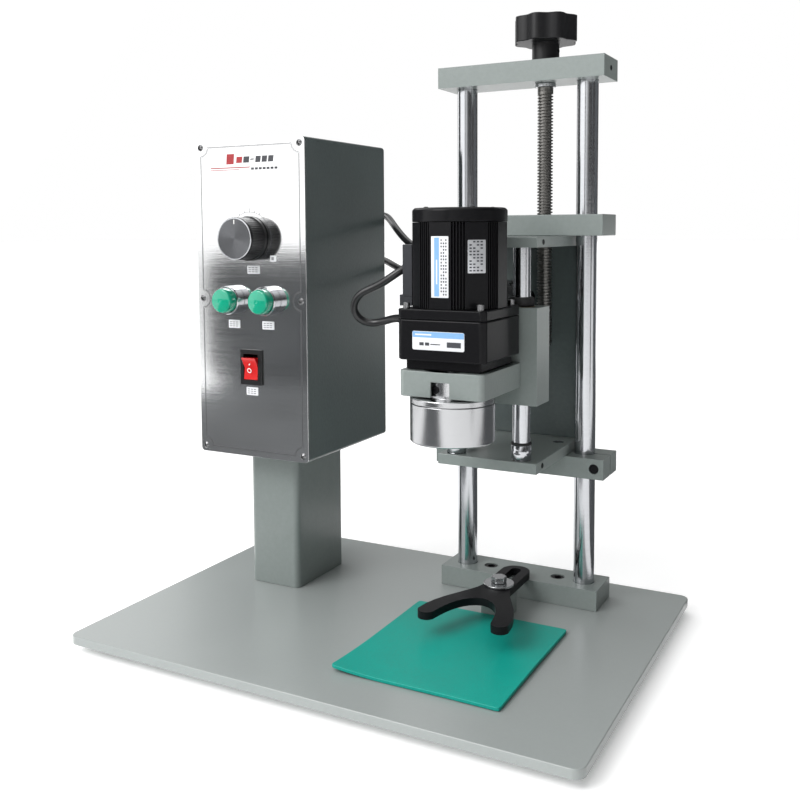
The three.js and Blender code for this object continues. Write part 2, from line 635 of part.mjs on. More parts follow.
// Rack teeth face +X. A gap lies level with the pinion's middle.
function rackOutline() {
  const pitch = Math.PI * RACK.module;
  const slope = Math.tan(THREE.MathUtils.degToRad(RACK.angle));
  const line = PINION.x - PITCH_RADIUS;
  const tipX = line + RACK.addendum;
  const rootX = line - RACK.dedendum;
  const half = pitch / 4 - RACK.backlash / 2;
  const tipHalf = half - RACK.addendum * slope;
  const rootHalf = half + RACK.dedendum * slope;
  const outline = [
    new THREE.Vector2(RACK_SPAN.back, RACK_SPAN.bottom),
    new THREE.Vector2(rootX, RACK_SPAN.bottom),
  ];
  const first = Math.ceil((RACK_SPAN.bottom + rootHalf - PINION.z) / pitch - 0.5);
  const last = Math.floor((RACK_SPAN.top - rootHalf - PINION.z) / pitch - 0.5);
  for (let tooth = first; tooth <= last; tooth += 1) {
    const middle = PINION.z + (tooth + 0.5) * pitch;
    outline.push(
      new THREE.Vector2(rootX, middle - rootHalf), new THREE.Vector2(tipX, middle - tipHalf),
      new THREE.Vector2(tipX, middle + tipHalf), new THREE.Vector2(rootX, middle + rootHalf),
    );
  }
  outline.push(new THREE.Vector2(rootX, RACK_SPAN.top), new THREE.Vector2(RACK_SPAN.back, RACK_SPAN.top));
  return outline;
}

function addClip(carriage) {
  const x = CLIP.x - COLUMN.x;
  const y = CLIP.y - COLUMN.y;
  const clip = cut(
    join(
      pin(x, CLIP.z, y - CLIP.length / 2, y + CLIP.length / 2, CLIP.outer),
      block(x, SHELF.left - GAP, y - 4, y + 4, CLIP.z + 4, CLIP.z + 7),
      block(SHELF.left - GAP - 3, SHELF.left - GAP, y - 8, y + 8, CLIP.z + 4, MIDDLE_BAR.z - 1),
    ),
    pin(x, CLIP.z, y - CLIP.length, y + CLIP.length, CLIP.bore),
  );
  piece(carriage, "cable_clip", clip, BLACK_PLASTIC);
}

// ---------------------------------------------------------------- head
function addHead(carriage) {
  const head = groupAt(carriage, 0, 0, 0);
  const sliderFront = SLIDE_ROD.y - SLIDER.depth / 2;
  const sliderBack = SLIDE_ROD.y + SLIDER.depth / 2;
  const slider = cut(
    block(-SLIDER.width / 2, SLIDER.width / 2, sliderFront, sliderBack, SLIDER.bottom, SLIDER.top),
    ...SIDES.map(([, side]) =>
      post(side * SLIDE_ROD.offset, SLIDE_ROD.y, SLIDER.bottom - 1, SLIDER.top + 1, BUSHING_RADIUS + GAP)),
  );
  piece(head, "slider_block", slider, HAMMER_GREY);
  const bore = SLIDE_ROD.radius + SLIDE_GAP;
  for (const [name, side] of SIDES) {
    const bushing = turned([
      [bore, SLIDER.bottom], [BUSHING_RADIUS, SLIDER.bottom], [BUSHING_RADIUS, SLIDER.top],
      [bore, SLIDER.top], [bore, SLIDER.bottom],
    ]);
    piece(groupAt(head, side * SLIDE_ROD.offset, SLIDE_ROD.y, 0), `slide_bushing_${name}`, bushing, BRASS);
  }
  const rack = extrudeAlongY(new THREE.Shape(rackOutline()), sliderBack + GAP, PINION.y + PINION.width);
  piece(head, "lift_rack", rack, ZINC);

  const half = MOTOR_PLATE.width / 2;
  const chuckX = MOTOR.x;
  const notch = { half: 8.4, top: MOTOR_PLATE.bottom + 13 };
  const plateDepth = sliderFront - GAP - MOTOR_PLATE.front;
  const plateOutline = roundedRectangle(MOTOR_PLATE.width, plateDepth + 12, 6);
  const motorPlate = cut(
    at(extrude(plateOutline, MOTOR_PLATE.top - MOTOR_PLATE.bottom - GAP), MOTOR.x,
      MOTOR_PLATE.front + plateDepth / 2 + 6, MOTOR_PLATE.bottom),
    block(-half - 5, half + 5, sliderFront - GAP, sliderFront + 20,
      MOTOR_PLATE.bottom - 1, MOTOR_PLATE.top + 1),
    post(chuckX, CHUCK.y, MOTOR_PLATE.bottom - 1, MOTOR_PLATE.top + 1, CHUCK.hub + 2.5),
    block(chuckX - notch.half, chuckX + notch.half, MOTOR_PLATE.front - 1, CHUCK.y,
      MOTOR_PLATE.bottom - 1, notch.top),
  );
  piece(head, "motor_plate", motorPlate, HAMMER_GREY);
  addMotor(head);
  addChuck(head);
}

function addMotor(head) {
  const motor = groupAt(head, MOTOR.x, MOTOR.y, 0);
  const square = chamferedSquare(MOTOR.size, MOTOR.corner);
  const shaftY = CHUCK.y - MOTOR.y;
  const gearbox = cut(
    join(
      at(extrude(square, GEARBOX.top - GEARBOX.bottom), 0, 0, GEARBOX.bottom),
      block(-GEARBOX.step / 2, GEARBOX.step / 2, -GEARBOX.step / 2, GEARBOX.step / 2,
        MOTOR_PLATE.top, GEARBOX.bottom + 1),
    ),
    post(0, shaftY, MOTOR_PLATE.top - 1, SPINDLE.top + 1, turningBore(SPINDLE.radius, 0.1)),
  );
  piece(motor, "gearbox", gearbox, BLACK_PAINT);
  const flange = extrude(square, FLANGE_TOP - GEARBOX.top - GAP);
  piece(motor, "motor_flange", at(flange, 0, 0, GEARBOX.top + GAP), BLACK_PAINT);

  const body = extrude(new THREE.Shape(finnedOutline()), BODY.top - FLANGE_TOP - GAP);
  piece(motor, "motor_body", at(body, 0, 0, FLANGE_TOP + GAP), BLACK_PAINT);
  const cap = turned([
    [0, BODY.top + GAP], [MOTOR_CAP.radius, BODY.top + GAP], [MOTOR_CAP.radius, MOTOR_CAP.top - 2],
    [MOTOR_CAP.radius - 2, MOTOR_CAP.top], [0, MOTOR_CAP.top],
  ], 32);
  piece(motor, "motor_cap", cap, BLACK_PAINT);
  addTerminalCover(motor);
}

// Eight flat panels, with a group of upright fins between each pair.
function finnedOutline() {
  const outline = [];
  for (let sector = 0; sector < 8; sector += 1) {
    const facing = (sector * Math.PI) / 4;
    const panelAngle = Math.atan2(BODY.panelHalf, BODY.panel);
    const panelRadius = Math.hypot(BODY.panel, BODY.panelHalf);
    const polar = (radius, angle) =>
      outline.push(new THREE.Vector2(radius * Math.cos(angle), radius * Math.sin(angle)));
    polar(panelRadius, facing - panelAngle);
    polar(panelRadius, facing + panelAngle);
    const span = Math.PI / 4 - 2 * panelAngle;
    const step = span / (2 * BODY.fins + 1);
    for (let fin = 0; fin < BODY.fins; fin += 1) {
      const start = facing + panelAngle + (2 * fin + 1) * step;
      polar(BODY.root, start - step * 0.85);
      polar(BODY.root, start - step * 0.15);
      polar(BODY.fin, start + step * 0.15);
      polar(BODY.fin, start + step * 0.85);
    }
    polar(BODY.root, facing + Math.PI / 4 - panelAngle - step * 0.85);
    polar(BODY.root, facing + Math.PI / 4 - panelAngle - step * 0.15);
  }
  return outline;
}

function addTerminalCover(motor) {
  const { left, right, half, bottom, top } = TERMINAL;
  const foot = TERMINAL_FOOT;
  const cover = cut(
    join(
      block(left, right, -half, half, bottom, top),
      block(foot.left, right, -foot.half, foot.half, bottom - foot.height, bottom + 1),
    ),
    post(0, 0, bottom - 20, top + 1, Math.hypot(BODY.panel, BODY.panelHalf) + GAP, 48),
    post(foot.leadX, foot.leadY, bottom - 20, bottom - 1, GLAND.bore),
  );
  piece(motor, "terminal_cover", cover, BLACK_PLASTIC);
}

function addChuck(head) {
  const chuck = groupAt(head, MOTOR.x, CHUCK.y, 0);
  const hub = turned([
    [0, CHUCK.split], [CHUCK.radius - 0.5, CHUCK.split], [CHUCK.radius, CHUCK.split + 0.5],
    [CHUCK.radius, CHUCK.hubTop - 0.5], [CHUCK.radius - 0.5, CHUCK.hubTop], [CHUCK.hub, CHUCK.hubTop],
    [CHUCK.hub, MOTOR_PLATE.top - 4], [SPINDLE.radius, MOTOR_PLATE.top - 4], [SPINDLE.radius, SPINDLE.top],
    [0, SPINDLE.top],
  ], 32);
  piece(chuck, "chuck_hub", hub, ALUMINIUM);
  const seat = { mouth: 27, throat: 23, depth: 26 };
  const top = CHUCK.split - GAP;
  const body = turned([
    [0, CHUCK.bottom + seat.depth], [seat.throat, CHUCK.bottom + seat.depth], [seat.mouth, CHUCK.bottom],
    [CHUCK.radius - 1, CHUCK.bottom], [CHUCK.radius, CHUCK.bottom + 1], [CHUCK.radius, top], [0, top],
  ], 32);
  piece(chuck, "chuck_body", body, ALUMINIUM);
  const wall = 6;
  const linerTop = CHUCK.bottom + seat.depth - GAP;
  const liner = turned([
    [seat.mouth - GAP - wall, CHUCK.bottom], [seat.mouth - GAP, CHUCK.bottom], [seat.throat - GAP, linerTop],
    [seat.throat - GAP - wall, linerTop], [seat.mouth - GAP - wall, CHUCK.bottom],
  ], 32);
  piece(chuck, "chuck_insert", liner, RUBBER);
}

// ---------------------------------------------------------------- bottle stop
function addBottleStop(machine) {
  const stop = groupAt(machine, FORK.x, FORK.y, 0);
  const half = FORK_POST.size / 2;
  const support = cut(
    block(-half, half, -half + 0.3, half, GAP, FORK_POST.height),
    post(0, 0, 3, FORK_POST.height + 1, 4.3, 16),
  );
  piece(stop, "fork_post", support, HAMMER_GREY);
  piece(stop, "bottle_fork", at(extrude(forkOutline(), FORK.thickness, 8), 0, 0, FORK.bottom), BLACK_PAINT);

  const top = FORK.bottom + FORK.thickness + GAP;
  const washer = turned([[4.3, top], [14.5, top], [14.5, top + 2], [4.3, top + 2], [4.3, top]]);
  piece(stop, "fork_washer", washer, ZINC);
  const bolt = join(post(0, 0, 4, top + 3, 4, 16), post(0, 0, top + 2 + GAP, top + 8, 7.5, 6));
  piece(stop, "fork_bolt", bolt, ZINC);
}

// A slotted arm to the back and two curved prongs to the front. The bolt is at the origin.
function forkOutline() {
  const armEnd = 43;
  const tip = { x: 35, y: -84, radius: 8 };
  const shape = new THREE.Shape();
  shape.moveTo(FORK.half, armEnd);
  shape.absarc(0, armEnd, FORK.half, 0, Math.PI);
  shape.lineTo(-FORK.half, -6);
  shape.bezierCurveTo(-17, -26, -42, -50, -tip.x - tip.radius, tip.y);
  shape.absarc(-tip.x, tip.y, tip.radius, Math.PI, 2 * Math.PI);
  shape.bezierCurveTo(-24, -62, -17, -41, 0, -38.5);
  shape.bezierCurveTo(17, -41, 24, -62, tip.x - tip.radius, tip.y);
  shape.absarc(tip.x, tip.y, tip.radius, Math.PI, 2 * Math.PI);
  shape.bezierCurveTo(42, -50, 17, -26, FORK.half, -6);
  const slot = new THREE.Path();
  slot.moveTo(-FORK.slot, -0.3);
  slot.absarc(0, -0.3, FORK.slot, Math.PI, 2 * Math.PI);
  slot.absarc(0, 44.5, FORK.slot, 0, Math.PI);
  shape.holes.push(slot);
  return shape;
}

// ---------------------------------------------------------------- leads
function addLeads(machine) {
  piece(machine, "upper_motor_lead", tube(UPPER_LEAD), RUBBER);
  piece(machine, "lower_motor_lead", tube(LOWER_LEAD), RUBBER);
  piece(machine, "lift_motor_lead", tube(LIFT_LEAD), RUBBER);
}

const cappingMachine = new THREE.Group();
const machine = groupAt(cappingMachine, 0, 0, PLATE.thickness + FOOT.height);
addBase(machine);
addControls(machine);
addColumn(machine);
addBottleStop(machine);
addLeads(machine);

export default cappingMachine;
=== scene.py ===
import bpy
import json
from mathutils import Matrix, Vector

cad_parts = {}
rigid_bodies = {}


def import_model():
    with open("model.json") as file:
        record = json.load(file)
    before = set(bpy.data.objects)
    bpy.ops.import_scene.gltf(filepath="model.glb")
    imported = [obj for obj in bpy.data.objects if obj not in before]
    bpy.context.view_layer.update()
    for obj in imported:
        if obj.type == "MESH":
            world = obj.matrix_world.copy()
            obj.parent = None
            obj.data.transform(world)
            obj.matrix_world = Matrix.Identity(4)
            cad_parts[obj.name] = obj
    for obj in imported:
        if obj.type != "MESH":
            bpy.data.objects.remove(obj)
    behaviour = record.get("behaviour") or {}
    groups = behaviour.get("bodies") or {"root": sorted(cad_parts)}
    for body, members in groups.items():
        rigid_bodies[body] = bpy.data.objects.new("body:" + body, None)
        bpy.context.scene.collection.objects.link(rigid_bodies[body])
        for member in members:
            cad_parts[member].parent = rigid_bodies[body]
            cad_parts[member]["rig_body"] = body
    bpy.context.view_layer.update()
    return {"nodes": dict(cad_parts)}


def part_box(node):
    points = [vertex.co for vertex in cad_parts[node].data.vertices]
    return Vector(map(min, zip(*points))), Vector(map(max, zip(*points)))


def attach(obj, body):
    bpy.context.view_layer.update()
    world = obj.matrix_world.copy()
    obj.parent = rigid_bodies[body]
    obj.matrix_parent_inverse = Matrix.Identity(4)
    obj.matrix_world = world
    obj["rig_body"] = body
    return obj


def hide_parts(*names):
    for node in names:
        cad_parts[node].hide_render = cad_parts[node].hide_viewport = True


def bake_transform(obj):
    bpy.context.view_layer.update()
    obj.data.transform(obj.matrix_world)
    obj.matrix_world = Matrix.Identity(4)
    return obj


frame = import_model()

import json
import math

import bmesh
import bpy
from mathutils import Matrix, Vector

# Sizes below are in millimetres, with Z counted from the top of the base plate. place() turns such a
# point into the row frame, in metres.
MM = 0.001
PLATE_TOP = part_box("base_plate")[1].z


def place(x, y, z):
    return Vector((x * MM, y * MM, z * MM + PLATE_TOP))


# ---------------------------------------------------------------- camera
CAMERA_AT = (424.0, -778.6, 363.6)
CAMERA_AZIMUTH, CAMERA_PITCH, CAMERA_ROLL = (math.radians(a) for a in (28.032, 4.363, -0.337))
CAMERA_LENS = 43.18
CAMERA_SHIFT = -0.12


def add_camera():
    data = bpy.data.cameras.new("camera")
    data.lens = CAMERA_LENS
    data.shift_y = CAMERA_SHIFT
    camera = bpy.data.objects.new("camera", data)
    bpy.context.scene.collection.objects.link(camera)
    level = math.cos(CAMERA_PITCH)
    forward = Vector((
        -math.sin(CAMERA_AZIMUTH) * level, math.cos(CAMERA_AZIMUTH) * level, -math.sin(CAMERA_PITCH)))
    right = Vector((math.cos(CAMERA_AZIMUTH), math.sin(CAMERA_AZIMUTH), 0))
    up = right.cross(forward)
    turned_right = right * math.cos(CAMERA_ROLL) + up * math.sin(CAMERA_ROLL)
    turned_up = up * math.cos(CAMERA_ROLL) - right * math.sin(CAMERA_ROLL)
    camera.matrix_world = Matrix.Translation(place(*CAMERA_AT)) @ Matrix(
        (turned_right, turned_up, -forward)).transposed().to_4x4()
    bpy.context.scene.camera = camera


# ---------------------------------------------------------------- materials
# The noise mostly stays in this band, so the colour and the gloss change over it alone.
NOISE_LOW, NOISE_HIGH = 0.3, 0.7


def surface(name, color, roughness, metallic=0.0, vary=0.06, grain=120.0, stretch=(1, 1, 1),
            bump=0.02, bump_scale=900.0, rough_vary=0.05, patches=12.0, spun_round=None, **sockets):
    """A procedural finish: large soft patches and fine grain in the colour and gloss, and a fine bump.
    spun_round is the axis that a turned face's fine grooves run round."""
    made = bpy.data.materials.new(name)
    made.use_nodes = True
    nodes, links = made.node_tree.nodes, made.node_tree.links
    shader = nodes["Principled BSDF"]
    shader.inputs["Metallic"].default_value = metallic
    for socket, value in sockets.items():
        shader.inputs[socket.replace("_", " ")].default_value = value
    coordinates = nodes.new("ShaderNodeTexCoord")
    mapping = nodes.new("ShaderNodeMapping")
    mapping.inputs["Scale"].default_value = stretch
    links.new(coordinates.outputs["Object"], mapping.inputs["Vector"])

    def noise(scale, detail=3.0, stretched=True):
        node = nodes.new("ShaderNodeTexNoise")
        node.inputs["Scale"].default_value = scale
        node.inputs["Detail"].default_value = detail
        source = mapping.outputs["Vector"] if stretched else coordinates.outputs["Object"]
        links.new(source, node.inputs["Vector"])
        return node.outputs["Fac"]

    # Half of it is large patches and half is fine grain.
    blend = nodes.new("ShaderNodeMath")
    blend.operation = "MULTIPLY_ADD"
    links.new(noise(patches, stretched=False), blend.inputs[0])
    blend.inputs[1].default_value = 0.5
    half = nodes.new("ShaderNodeMath")
    half.operation = "MULTIPLY"
    links.new(noise(grain), half.inputs[0])
    half.inputs[1].default_value = 0.5
    links.new(half.outputs[0], blend.inputs[2])

    ramp = nodes.new("ShaderNodeValToRGB")
    ramp.color_ramp.elements[0].position = NOISE_LOW
    ramp.color_ramp.elements[1].position = NOISE_HIGH
    ramp.color_ramp.elements[0].color = (*[c * (1 - vary) for c in color], 1)
    ramp.color_ramp.elements[1].color = (*[min(1, c * (1 + vary)) for c in color], 1)
    links.new(blend.outputs[0], ramp.inputs["Fac"])
    links.new(ramp.outputs["Color"], shader.inputs["Base Color"])

    gloss = nodes.new("ShaderNodeMapRange")
    gloss.inputs["From Min"].default_value = NOISE_LOW
    gloss.inputs["From Max"].default_value = NOISE_HIGH
    gloss.inputs["To Min"].default_value = max(0.02, roughness - rough_vary / 2)
    gloss.inputs["To Max"].default_value = roughness + rough_vary / 2
    links.new(blend.outputs[0], gloss.inputs["Value"])
    links.new(gloss.outputs["Result"], shader.inputs["Roughness"])

    relief = nodes.new("ShaderNodeBump")
    relief.inputs["Strength"].default_value = bump
    relief.inputs["Distance"].default_value = MM
    links.new(noise(bump_scale, 2.0), relief.inputs["Height"])
    links.new(relief.outputs["Normal"], shader.inputs["Normal"])
    if spun_round:
        tangent = nodes.new("ShaderNodeTangent")
        tangent.direction_type = "RADIAL"
        tangent.axis = spun_round
        links.new(tangent.outputs["Tangent"], shader.inputs["Tangent"])
    return made


# Noise scales that draw the grain out round an upright part, or along X.
ACROSS_Z = (0.03, 0.03, 1)
ALONG_X = (0.02, 1, 1)
LOOK = {
    "paint": surface("grey_green_enamel", (0.205, 0.234, 0.225), 0.34, vary=0.06, grain=260, bump=0.12,
                     bump_scale=420, Coat_Weight=0.25, Coat_Roughness=0.16, Specular_IOR_Level=0.4),
    # The control box's dark enamel. The back plate takes it too, as painted shade: it is darker than
    # the column's paint to stand in for the shade it lies in behind the head.
    "box_paint_and_painted_shade": surface("dark_green_enamel_and_painted_shade", (0.09, 0.113, 0.111), 0.32, vary=0.1, grain=260,
                         bump=0.14, bump_scale=420, Coat_Weight=0.2, Coat_Roughness=0.2,
                         Specular_IOR_Level=0.4),
    "plate_paint": surface("grey_plate_enamel", (0.3, 0.324, 0.318), 0.3, vary=0.025, grain=300,
                           bump=0.02, bump_scale=380, rough_vary=0.03, Coat_Weight=0.2,
                           Coat_Roughness=0.2),
    "stainless": surface("polished_stainless", (0.76, 0.765, 0.77), 0.09, 1.0, vary=0.05, grain=700,
                         stretch=ALONG_X, bump=0.015, bump_scale=1600, rough_vary=0.05),
    "chrome": surface("ground_chrome", (0.52, 0.53, 0.55), 0.15, 1.0, vary=0.05, grain=500,
                      stretch=ACROSS_Z, bump=0.012, bump_scale=900, rough_vary=0.05),
    "zinc": surface("zinc_plate", (0.5, 0.51, 0.52), 0.26, 1.0, vary=0.03, grain=400, bump=0.02,
                    rough_vary=0.02),
    "dull_steel": surface("dull_steel", (0.26, 0.26, 0.265), 0.3, 1.0, vary=0.06, grain=400, bump=0.03,
                          rough_vary=0.03),
    "thread": surface("oiled_thread", (0.2, 0.195, 0.185), 0.36, 1.0, vary=0.2, grain=300, bump=0.08),
    "aluminium": surface("turned_aluminium", (0.5, 0.505, 0.515), 0.2, 1.0, vary=0.05, grain=900,
                         stretch=ACROSS_Z, bump=0.012, bump_scale=1400, rough_vary=0.06, spun_round="Z",
                         Anisotropic=0.3),
    "bronze": surface("sintered_bronze", (0.5, 0.33, 0.14), 0.42, 1.0, vary=0.12),
    "black_enamel": surface("black_enamel", (0.006, 0.006, 0.007), 0.3, vary=0.2, grain=300, bump=0.03,
                            bump_scale=260, Coat_Weight=0.06, Coat_Roughness=0.12,
                            Specular_IOR_Level=0.12),
    "fork_enamel": surface("black_fork_enamel", (0.005, 0.005, 0.006), 0.42, vary=0.2, grain=300,
                           bump=0.05, bump_scale=500, Specular_IOR_Level=0.16),
    "black_plastic": surface("black_plastic", (0.008, 0.008, 0.009), 0.36, vary=0.2, grain=400,
                             bump=0.05, bump_scale=1500, Specular_IOR_Level=0.3),
    "dark_plastic": surface("blue_black_plastic", (0.016, 0.018, 0.023), 0.4, vary=0.15, grain=400,
                            bump=0.05, bump_scale=1500),
    "knob_cap": surface("dark_spun_cap", (0.13, 0.133, 0.14), 0.2, 1.0, vary=0.12, grain=900,
                        spun_round="Y", Anisotropic=0.9),
    "rubber": surface("black_rubber", (0.016, 0.016, 0.017), 0.62, vary=0.25, grain=300, bump=0.1),
    "lead_jacket": surface("black_pvc", (0.01, 0.01, 0.011), 0.32, vary=0.25, grain=300, bump=0.04,
                           Coat_Weight=0.2, Coat_Roughness=0.25),
    "mat": surface("teal_rubber", (0.004, 0.31, 0.25), 0.42, vary=0.14, grain=500, bump=0.2,
                   bump_scale=1200, rough_vary=0.15, patches=18, Specular_IOR_Level=0.3),
    "lens": surface("green_lens", (0.004, 0.4, 0.24), 0.12, vary=0.08, grain=200, bump=0.01,
                    Transmission_Weight=0.25, Coat_Weight=0.5, Coat_Roughness=0.05),
    "red": surface("red_plastic", (0.55, 0.008, 0.008), 0.22, vary=0.1, grain=300, bump=0.03,
                   Coat_Weight=0.4, Coat_Roughness=0.08),
    "board": surface("circuit_board", (0.03, 0.16, 0.06), 0.45, vary=0.15),
    "capacitor": surface("grey_case", (0.3, 0.31, 0.31), 0.5, vary=0.08),
    "white": surface("label_white", (0.68, 0.69, 0.71), 0.4, vary=0.03, grain=300, bump=0.01),
    "silver": surface("label_silver", (0.55, 0.56, 0.58), 0.36, 0.4, vary=0.06, grain=300, bump=0.01),
    "blue": surface("label_blue", (0.19, 0.38, 0.64), 0.35, vary=0.08, grain=300, bump=0.01),
    "ink": surface("dark_print", (0.04, 0.042, 0.05), 0.5, vary=0.2, grain=300, bump=0.01),
    "red_ink": surface("red_print", (0.32, 0.015, 0.02), 0.45, vary=0.1, grain=300, bump=0.01),
    "etched": surface("etched_line", (0.12, 0.12, 0.125), 0.4, 0.7, vary=0.15, grain=500, bump=0.02),
    "mark": surface("white_print", (0.78, 0.78, 0.76), 0.45, vary=0.04, grain=300, bump=0.01),
    "floor": surface("studio_floor", (0.93, 0.93, 0.93), 0.9, vary=0.01, grain=8, patches=2, bump=0.01,
                     bump_scale=60, Emission_Color=(1, 1, 1, 1), Emission_Strength=0.22),
    "card": surface("studio_card", (0.085, 0.089, 0.094), 0.9, vary=0.5, grain=6, patches=2.5),
}


# ---------------------------------------------------------------- mesh helpers
SHARP_ANGLE = 38       # edges that turn by more degrees than this stay crisp, and get the bevel
BEVEL_SEGMENTS = 2
CORNER_STEPS = 5
SCREW_SIDES = 24
COINCIDENT = 1e-5      # millimetres: points nearer than this are the same one


def facing(origin, direction):
    """A frame whose Z looks along direction, with its Y as near up as it goes."""
    z = Vector(direction).normalized()
    x = Vector((1, 0, 0)) if abs(z.z) > 0.99 else Vector((0, 0, 1)).cross(z).normalized()
    return Matrix.Translation(origin) @ Matrix((x, z.cross(x), z)).transposed().to_4x4()


def mark_sharp(mesh_data, angle):
    """Shades the mesh smooth but for the edges that turn by angle or more."""
    for e in mesh_data.edges:
        e.smooth = len(e.link_faces) == 2 and e.calc_face_angle(0) < angle
    for f in mesh_data.faces:
        f.smooth = True


def finish_piece(name, mesh_data, looks, body, bevel=0.0, sharp=SHARP_ANGLE, world=None):
    """Makes the mesh an object that rides on a body. world moves it into place from its own
    millimetres. Without world the mesh is already in metres, in the row frame."""
    if world is not None:
        bmesh.ops.transform(mesh_data, matrix=world @ Matrix.Scale(MM, 4), verts=mesh_data.verts)
    bmesh.ops.recalc_face_normals(mesh_data, faces=mesh_data.faces)
    mark_sharp(mesh_data, math.radians(sharp))
    data = bpy.data.meshes.new(name)
    mesh_data.to_mesh(data)
    mesh_data.free()
    for look in looks:
        data.materials.append(LOOK[look])
    made = bpy.data.objects.new(name, data)
    bpy.context.scene.collection.objects.link(made)
    if bevel:
        rounding = made.modifiers.new("rounding", "BEVEL")
        rounding.width = bevel * MM
        rounding.segments = BEVEL_SEGMENTS
        rounding.limit_method = "ANGLE"
        rounding.angle_limit = math.radians(sharp)
        rounding.harden_normals = True
        rounding.miter_outer = "MITER_ARC"
        # Large flat faces stay flat in reflections, and the rounded edges take up the turn.
        weighted = made.modifiers.new("weighted_normals", "WEIGHTED_NORMAL")
        weighted.weight = 100
        weighted.keep_sharp = True
    if body:
        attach(made, body)
    return made


def loops_to_faces(mesh_data, loops, index=0, cap_start=True, cap_end=True):
    """Joins closed loops of equal length with four-sided faces."""
    rings = [[mesh_data.verts.new(p) for p in loop] for loop in loops]
    count = len(rings[0])
    faces = []
    for lower, upper in zip(rings, rings[1:]):
        for i in range(count):
            j = (i + 1) % count
            faces.append(mesh_data.faces.new((lower[i], lower[j], upper[j], upper[i])))
    if cap_start:
        faces.append(mesh_data.faces.new(rings[0][::-1]))
    if cap_end:
        faces.append(mesh_data.faces.new(rings[-1]))
    for f in faces:
        f.material_index = index


def circle(radius, z, sides):
    return [Vector((radius * math.cos(2 * math.pi * i / sides),
                    radius * math.sin(2 * math.pi * i / sides), z)) for i in range(sides)]


def hexagon(across, z):
    """The outline of a hexagon, with as many points as the round of the screw it joins."""
    points = []
    for i in range(SCREW_SIDES):
        angle = 2 * math.pi * i / SCREW_SIDES
        from_middle = (angle + math.pi / 6) % (math.pi / 3) - math.pi / 6
        reach = across / 2 / math.cos(from_middle)
        points.append(Vector((reach * math.cos(angle), reach * math.sin(angle), z)))
    return points


def rounded(width, height, radius, z):
    """The outline of a rectangle with round corners."""
    points = []
    corners = ((1, 1, 0), (-1, 1, 90), (-1, -1, 180), (1, -1, 270))
    for sx, sy, start in corners:
        for i in range(CORNER_STEPS + 1):
            angle = math.radians(start + 90 * i / CORNER_STEPS)
            points.append(Vector((sx * (width / 2 - radius) + radius * math.cos(angle),
                                  sy * (height / 2 - radius) + radius * math.sin(angle), z)))
    return points


def turned(mesh_data, profile, sides):
    """Turns a profile of (radius, height) pairs round Z. It starts and ends on flat ends."""
    loops_to_faces(mesh_data, [circle(r, z, sides) for r, z in profile])


def turned_ring(mesh_data, profile, sides):
    """Turns a closed profile round Z, which leaves the middle open."""
    loops = [circle(r, z, sides) for r, z in profile + profile[:1]]
    loops_to_faces(mesh_data, loops, cap_start=False, cap_end=False)
    bmesh.ops.remove_doubles(mesh_data, verts=mesh_data.verts, dist=COINCIDENT)


def slab(mesh_data, x0, x1, y0, y1, z0, z1, index=0):
    outline = [Vector((x, y, z0)) for x, y in ((x0, y0), (x1, y0), (x1, y1), (x0, y1))]
    loops_to_faces(mesh_data, [outline, [p + Vector((0, 0, z1 - z0)) for p in outline]], index)


# ---------------------------------------------------------------- refined CAD pieces
WELD = 2e-6             # metres: corners nearer than this are one
FLAT = math.radians(1)  # faces that meet at less than this are one


